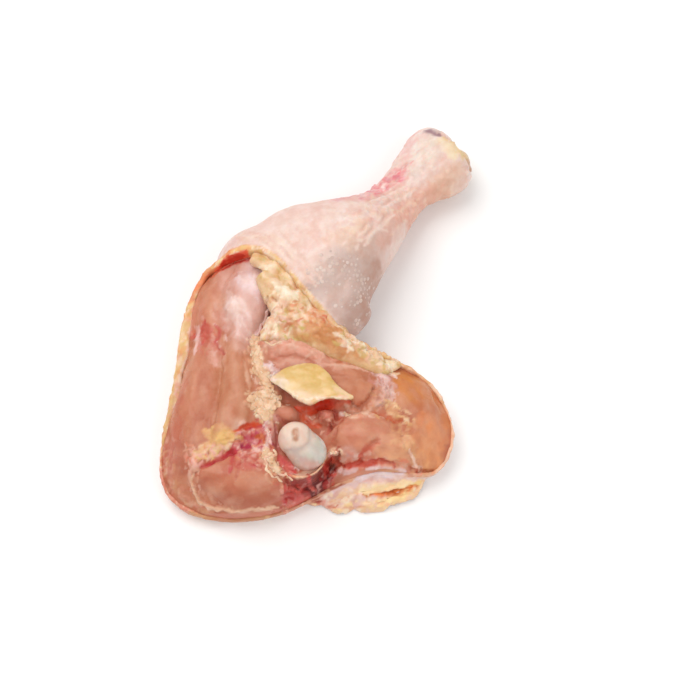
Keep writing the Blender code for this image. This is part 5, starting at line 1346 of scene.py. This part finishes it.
for number, (line, half) in enumerate(SINEWS):
    path = smooth_line(line, np.linspace(0, 1, 9))
    path[1:-1] += 0.5 * random.normal(size=(7, 2))
    stations = [(x, y, height_at(x, y) - 0.25 * half, half, 0.65 * half) for x, y in path]
    stations[0] = (*stations[0][:2], stations[0][2] - 0.5, 0.3 * half, 0.3 * half)
    stations[-1] = (*stations[-1][:2], stations[-1][2] - 0.5, 0.3 * half, 0.3 * half)
    rings = sections(stations, 70, 16)
    middle = rings.mean(axis=1, keepdims=True)
    uneven = 1 + 0.35 * noise(rings.reshape(-1, 3) + 40 * number, 1.8, 101).reshape(rings.shape[:2])[..., None]
    strands.append(skinned(middle + (rings - middle) * uneven))
sinews = made_by("sinews", strands, remesh(0.3), soften(3))
paint = Surface(sinews, (0.86, 0.60, 0.42), seed=100)
points, facing = paint.points, paint.facing
paint.relief += 0.12 * noise(points, 1.6, 102)
paint.tone(step(0.0, 0.5, noise(points, 3, 103)) * 0.6, (0.78, 0.42, 0.32))
paint.tone(step(0.1, 0.5, noise(points, 2, 104)) * 0.7, (0.92, 0.74, 0.56))
for line, wide, lift, colour, strength in (
    ([(-15, 7), (-14, 2), (-14.4, -2)], 2.0, 0, (0.76, 0.46, 0.44), 0.8),
    ([(-13, 64), (-16, 57.4), (-20, 50.4)], 2.0, 0, (0.80, 0.54, 0.53), 0.85),
    ([(2, 14), (8, 12)], 2.0, 0, (0.70, 0.34, 0.26), 0.8),
    ([(-12, 31), (-9, 25)], 2.0, 0, (0.86, 0.68, 0.64), 0.8),
):
    paint.stroke(line, wide, lift, colour, strength, 0.6, 0.8)
paint.done()
sinews.data.materials.append(raw("sinew", (0.94, 0.88, 0.82), 700.0, 0.25, 0.2, 0.36, 0.3, 1.2, 0.2))
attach(sinews, "root")

# ------------------------------------------------------------------------------------------------
# Crumbs of fat along the seam of the thigh and beside the yellow patches. Geometry nodes scatter one
# flat bead along lines, and the beads are melted together where they touch.
# ------------------------------------------------------------------------------------------------
SEAMS = [
    # x and y along each seam, and how far its crumbs stray
    ([(-20.4, 50), (-20, 44), (-19.2, 38), (-17.6, 32), (-15, 26)], 1.7), ([(-19.4, 47), (-19.4, 40), (-17.4, 33), (-14.6, 26), (-14, 21)], 1.7),
    ([(-21.5, 18.5), (-16, 21), (-10, 19.4)], 1.8), ([(-19, 16), (-14.6, 17), (-11.6, 15.6)], 1.8), ([(-17, 13.6), (-14.6, 10.4)], 1.4),
    ([(-14.6, -4), (-12.4, -9), (-9, -13)], 1.6),
]


def new_tree(name, sockets):
    """A geometry node tree with its named inputs."""
    made = bpy.data.node_groups.new(name, "GeometryNodeTree")
    made.interface.new_socket(name="Geometry", in_out="INPUT", socket_type="NodeSocketGeometry")
    for label, kind, value in sockets:
        socket = made.interface.new_socket(name=label, in_out="INPUT", socket_type=kind)
        socket.default_value = value
    made.interface.new_socket(name="Geometry", in_out="OUTPUT", socket_type="NodeSocketGeometry")
    return made, made.nodes.new("NodeGroupInput").outputs, made.nodes.new("NodeGroupOutput").inputs[0]


def scattered(tree, points, turn, stretch, smallest, largest, seed, material):
    """Round beads on some points, each with its own size, made into one mesh."""
    bead = add(tree, "GeometryNodeMeshIcoSphere", Radius=1.0, Subdivisions=3)
    size = add(tree, "FunctionNodeRandomValue", {"data_type": "FLOAT"})
    for socket, value in ((2, smallest), (3, largest), (8, seed)):
        tree.links.new(value, size.inputs[socket])
    scale = add(tree, "ShaderNodeVectorMath", {"operation": "SCALE"}, _0=stretch, Scale=size.outputs[1])
    beads = add(tree, "GeometryNodeInstanceOnPoints", Points=points, Instance=bead.outputs["Mesh"], Rotation=turn, Scale=scale.outputs[0])
    whole = add(tree, "GeometryNodeRealizeInstances", Geometry=beads.outputs["Instances"])
    smooth = add(tree, "GeometryNodeSetShadeSmooth", Geometry=whole.outputs[0])
    return add(tree, "GeometryNodeSetMaterial", Geometry=smooth.outputs[0], Material=material).outputs[0]


def grown(name, data, tree, **inputs):
    """The mesh that a geometry node tree makes from some data."""
    source = bpy.data.objects.new(name + " guide", data)
    bpy.context.scene.collection.objects.link(source)
    modifier = source.modifiers.new("beads", "NODES")
    modifier.node_group = tree
    for item in tree.interface.items_tree:
        if item.item_type == "SOCKET" and item.in_out == "INPUT" and item.name in inputs:
            modifier[item.identifier] = inputs[item.name]
    bpy.context.view_layer.update()
    mesh = bpy.data.meshes.new_from_object(source.evaluated_get(bpy.context.evaluated_depsgraph_get()))
    bpy.data.objects.remove(source)
    mesh.name = name
    return mesh


tree, given, taken = new_tree(
    "beads along lines",
    (("Spacing", "NodeSocketFloat", 1.0), ("Smallest", "NodeSocketFloat", 0.5),
     ("Largest", "NodeSocketFloat", 1.0), ("Seed", "NodeSocketInt", 3), ("Material", "NodeSocketMaterial", None)),
)
spots = add(tree, "GeometryNodeCurveToPoints", {"mode": "LENGTH"}, Curve=given["Geometry"], Length=given["Spacing"])
turned = add(tree, "FunctionNodeRandomValue", {"data_type": "FLOAT_VECTOR"})
turned.inputs[0].default_value = (-0.3, -0.3, 0)
turned.inputs[1].default_value = (0.3, 0.3, 6.28)
tree.links.new(given["Seed"], turned.inputs[8])
beads = scattered(
    tree, spots.outputs["Points"], turned.outputs[0], (1.3, 0.9, 0.36), given["Smallest"], given["Largest"],
    given["Seed"], given["Material"],
)
tree.links.new(beads, taken)

crumb_look = raw("crumbs of fat", (0.94, 0.88, 0.80), 800.0, 0.3, 0.22, 0.4, 0.3, 1.2, 0.18)
crumb_lines = bpy.data.curves.new("crumb lines", "CURVE")
crumb_lines.dimensions = "3D"
for seam, stray in SEAMS:
    for _ in range(2):
        path = smooth_line(seam, np.linspace(0, 1, 8 + 5 * len(seam)))
        path = path + stray * random.normal(size=path.shape) * 0.6
        spline = crumb_lines.splines.new("POLY")
        spline.points.add(len(path) - 1)
        for point, (x, y) in zip(spline.points, path):
            point.co = (*(Vector((x, y, height_at(x, y) - 0.12)) * MM + hip), 1)
crumbs = grown(
    "crumbs", crumb_lines, tree, Spacing=1.5 * MM, Smallest=0.65 * MM, Largest=1.35 * MM, Seed=5, Material=crumb_look,
)
crumbs = made_by("seam_fat", [crumbs], remesh(0.26), soften(3))
paint = Surface(crumbs, (0.76, 0.51, 0.34), seed=110)
points, facing = paint.points, paint.facing
paint.relief += 0.08 * noise(points, 1.0, 111)
paint.tone(step(0.0, 0.5, noise(points, 2.6, 112)) * 0.7, (0.86, 0.65, 0.48))
paint.tone(step(0.1, 0.6, noise(points, 1.8, 113)) * 0.6, (0.70, 0.40, 0.22))
paint.done()
crumbs.data.materials.clear()
crumbs.data.materials.append(crumb_look)
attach(crumbs, "root")

# ------------------------------------------------------------------------------------------------
# The feather follicles of the calf: small pale bumps where the feathers stood. Geometry nodes spread
# them over the skin only where it is bluish and drawn tight.
# ------------------------------------------------------------------------------------------------
tree, given, taken = new_tree(
    "bumps over skin",
    (("Apart", "NodeSocketFloat", 1.0), ("Density", "NodeSocketFloat", 1.0), ("Smallest", "NodeSocketFloat", 0.5),
     ("Largest", "NodeSocketFloat", 1.0), ("Seed", "NodeSocketInt", 3), ("Material", "NodeSocketMaterial", None)),
)
pores = add(tree, "GeometryNodeInputNamedAttribute", {"data_type": "FLOAT"}, Name="pores").outputs["Attribute"]
spots = add(
    tree, "GeometryNodeDistributePointsOnFaces", {"distribute_method": "POISSON"}, Mesh=given["Geometry"],
    Distance_Min=given["Apart"], Density_Max=given["Density"], Density_Factor=pores, Seed=given["Seed"],
)
bumps = scattered(
    tree, spots.outputs["Points"], spots.outputs["Rotation"], (1, 0.9, 0.13), given["Smallest"], given["Largest"],
    given["Seed"], given["Material"],
)
tree.links.new(bumps, taken)
bump_look = bpy.data.materials.new("pale follicle")
bump_look.use_nodes = True
shader = bump_look.node_tree.nodes["Principled BSDF"]
here = add(bump_look.node_tree, "ShaderNodeTexCoord").outputs["Object"]
cloud = add(bump_look.node_tree, "ShaderNodeTexNoise", Vector=here, Scale=260.0, Detail=2.0).outputs["Fac"]
cloud = add(bump_look.node_tree, "ShaderNodeMapRange", Value=cloud, From_Min=0.38, From_Max=0.62).outputs["Result"]
mixed = add(bump_look.node_tree, "ShaderNodeMix", {"data_type": "RGBA"})
bump_look.node_tree.links.new(cloud, mixed.inputs[0])
mixed.inputs[6].default_value = (0.60, 0.41, 0.35, 1)
mixed.inputs[7].default_value = (0.74, 0.55, 0.48, 1)
bump_look.node_tree.links.new(mixed.outputs[2], shader.inputs["Base Color"])
shader.inputs["Roughness"].default_value = 0.4
shader.inputs["Subsurface Weight"].default_value = 0.2
shader.inputs["Subsurface Radius"].default_value = (1.0, 0.42, 0.26)
shader.inputs["Subsurface Scale"].default_value = 1.5 * MM
bump_mesh = grown(
    "skin_bumps", skin.data, tree,
    Apart=1.75 * MM, Density=700000.0, Smallest=0.45 * MM, Largest=1.05 * MM, Seed=4, Material=bump_look,
)
bumps = bpy.data.objects.new("skin_bumps", bump_mesh)
bpy.context.scene.collection.objects.link(bumps)
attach(bumps, "root")
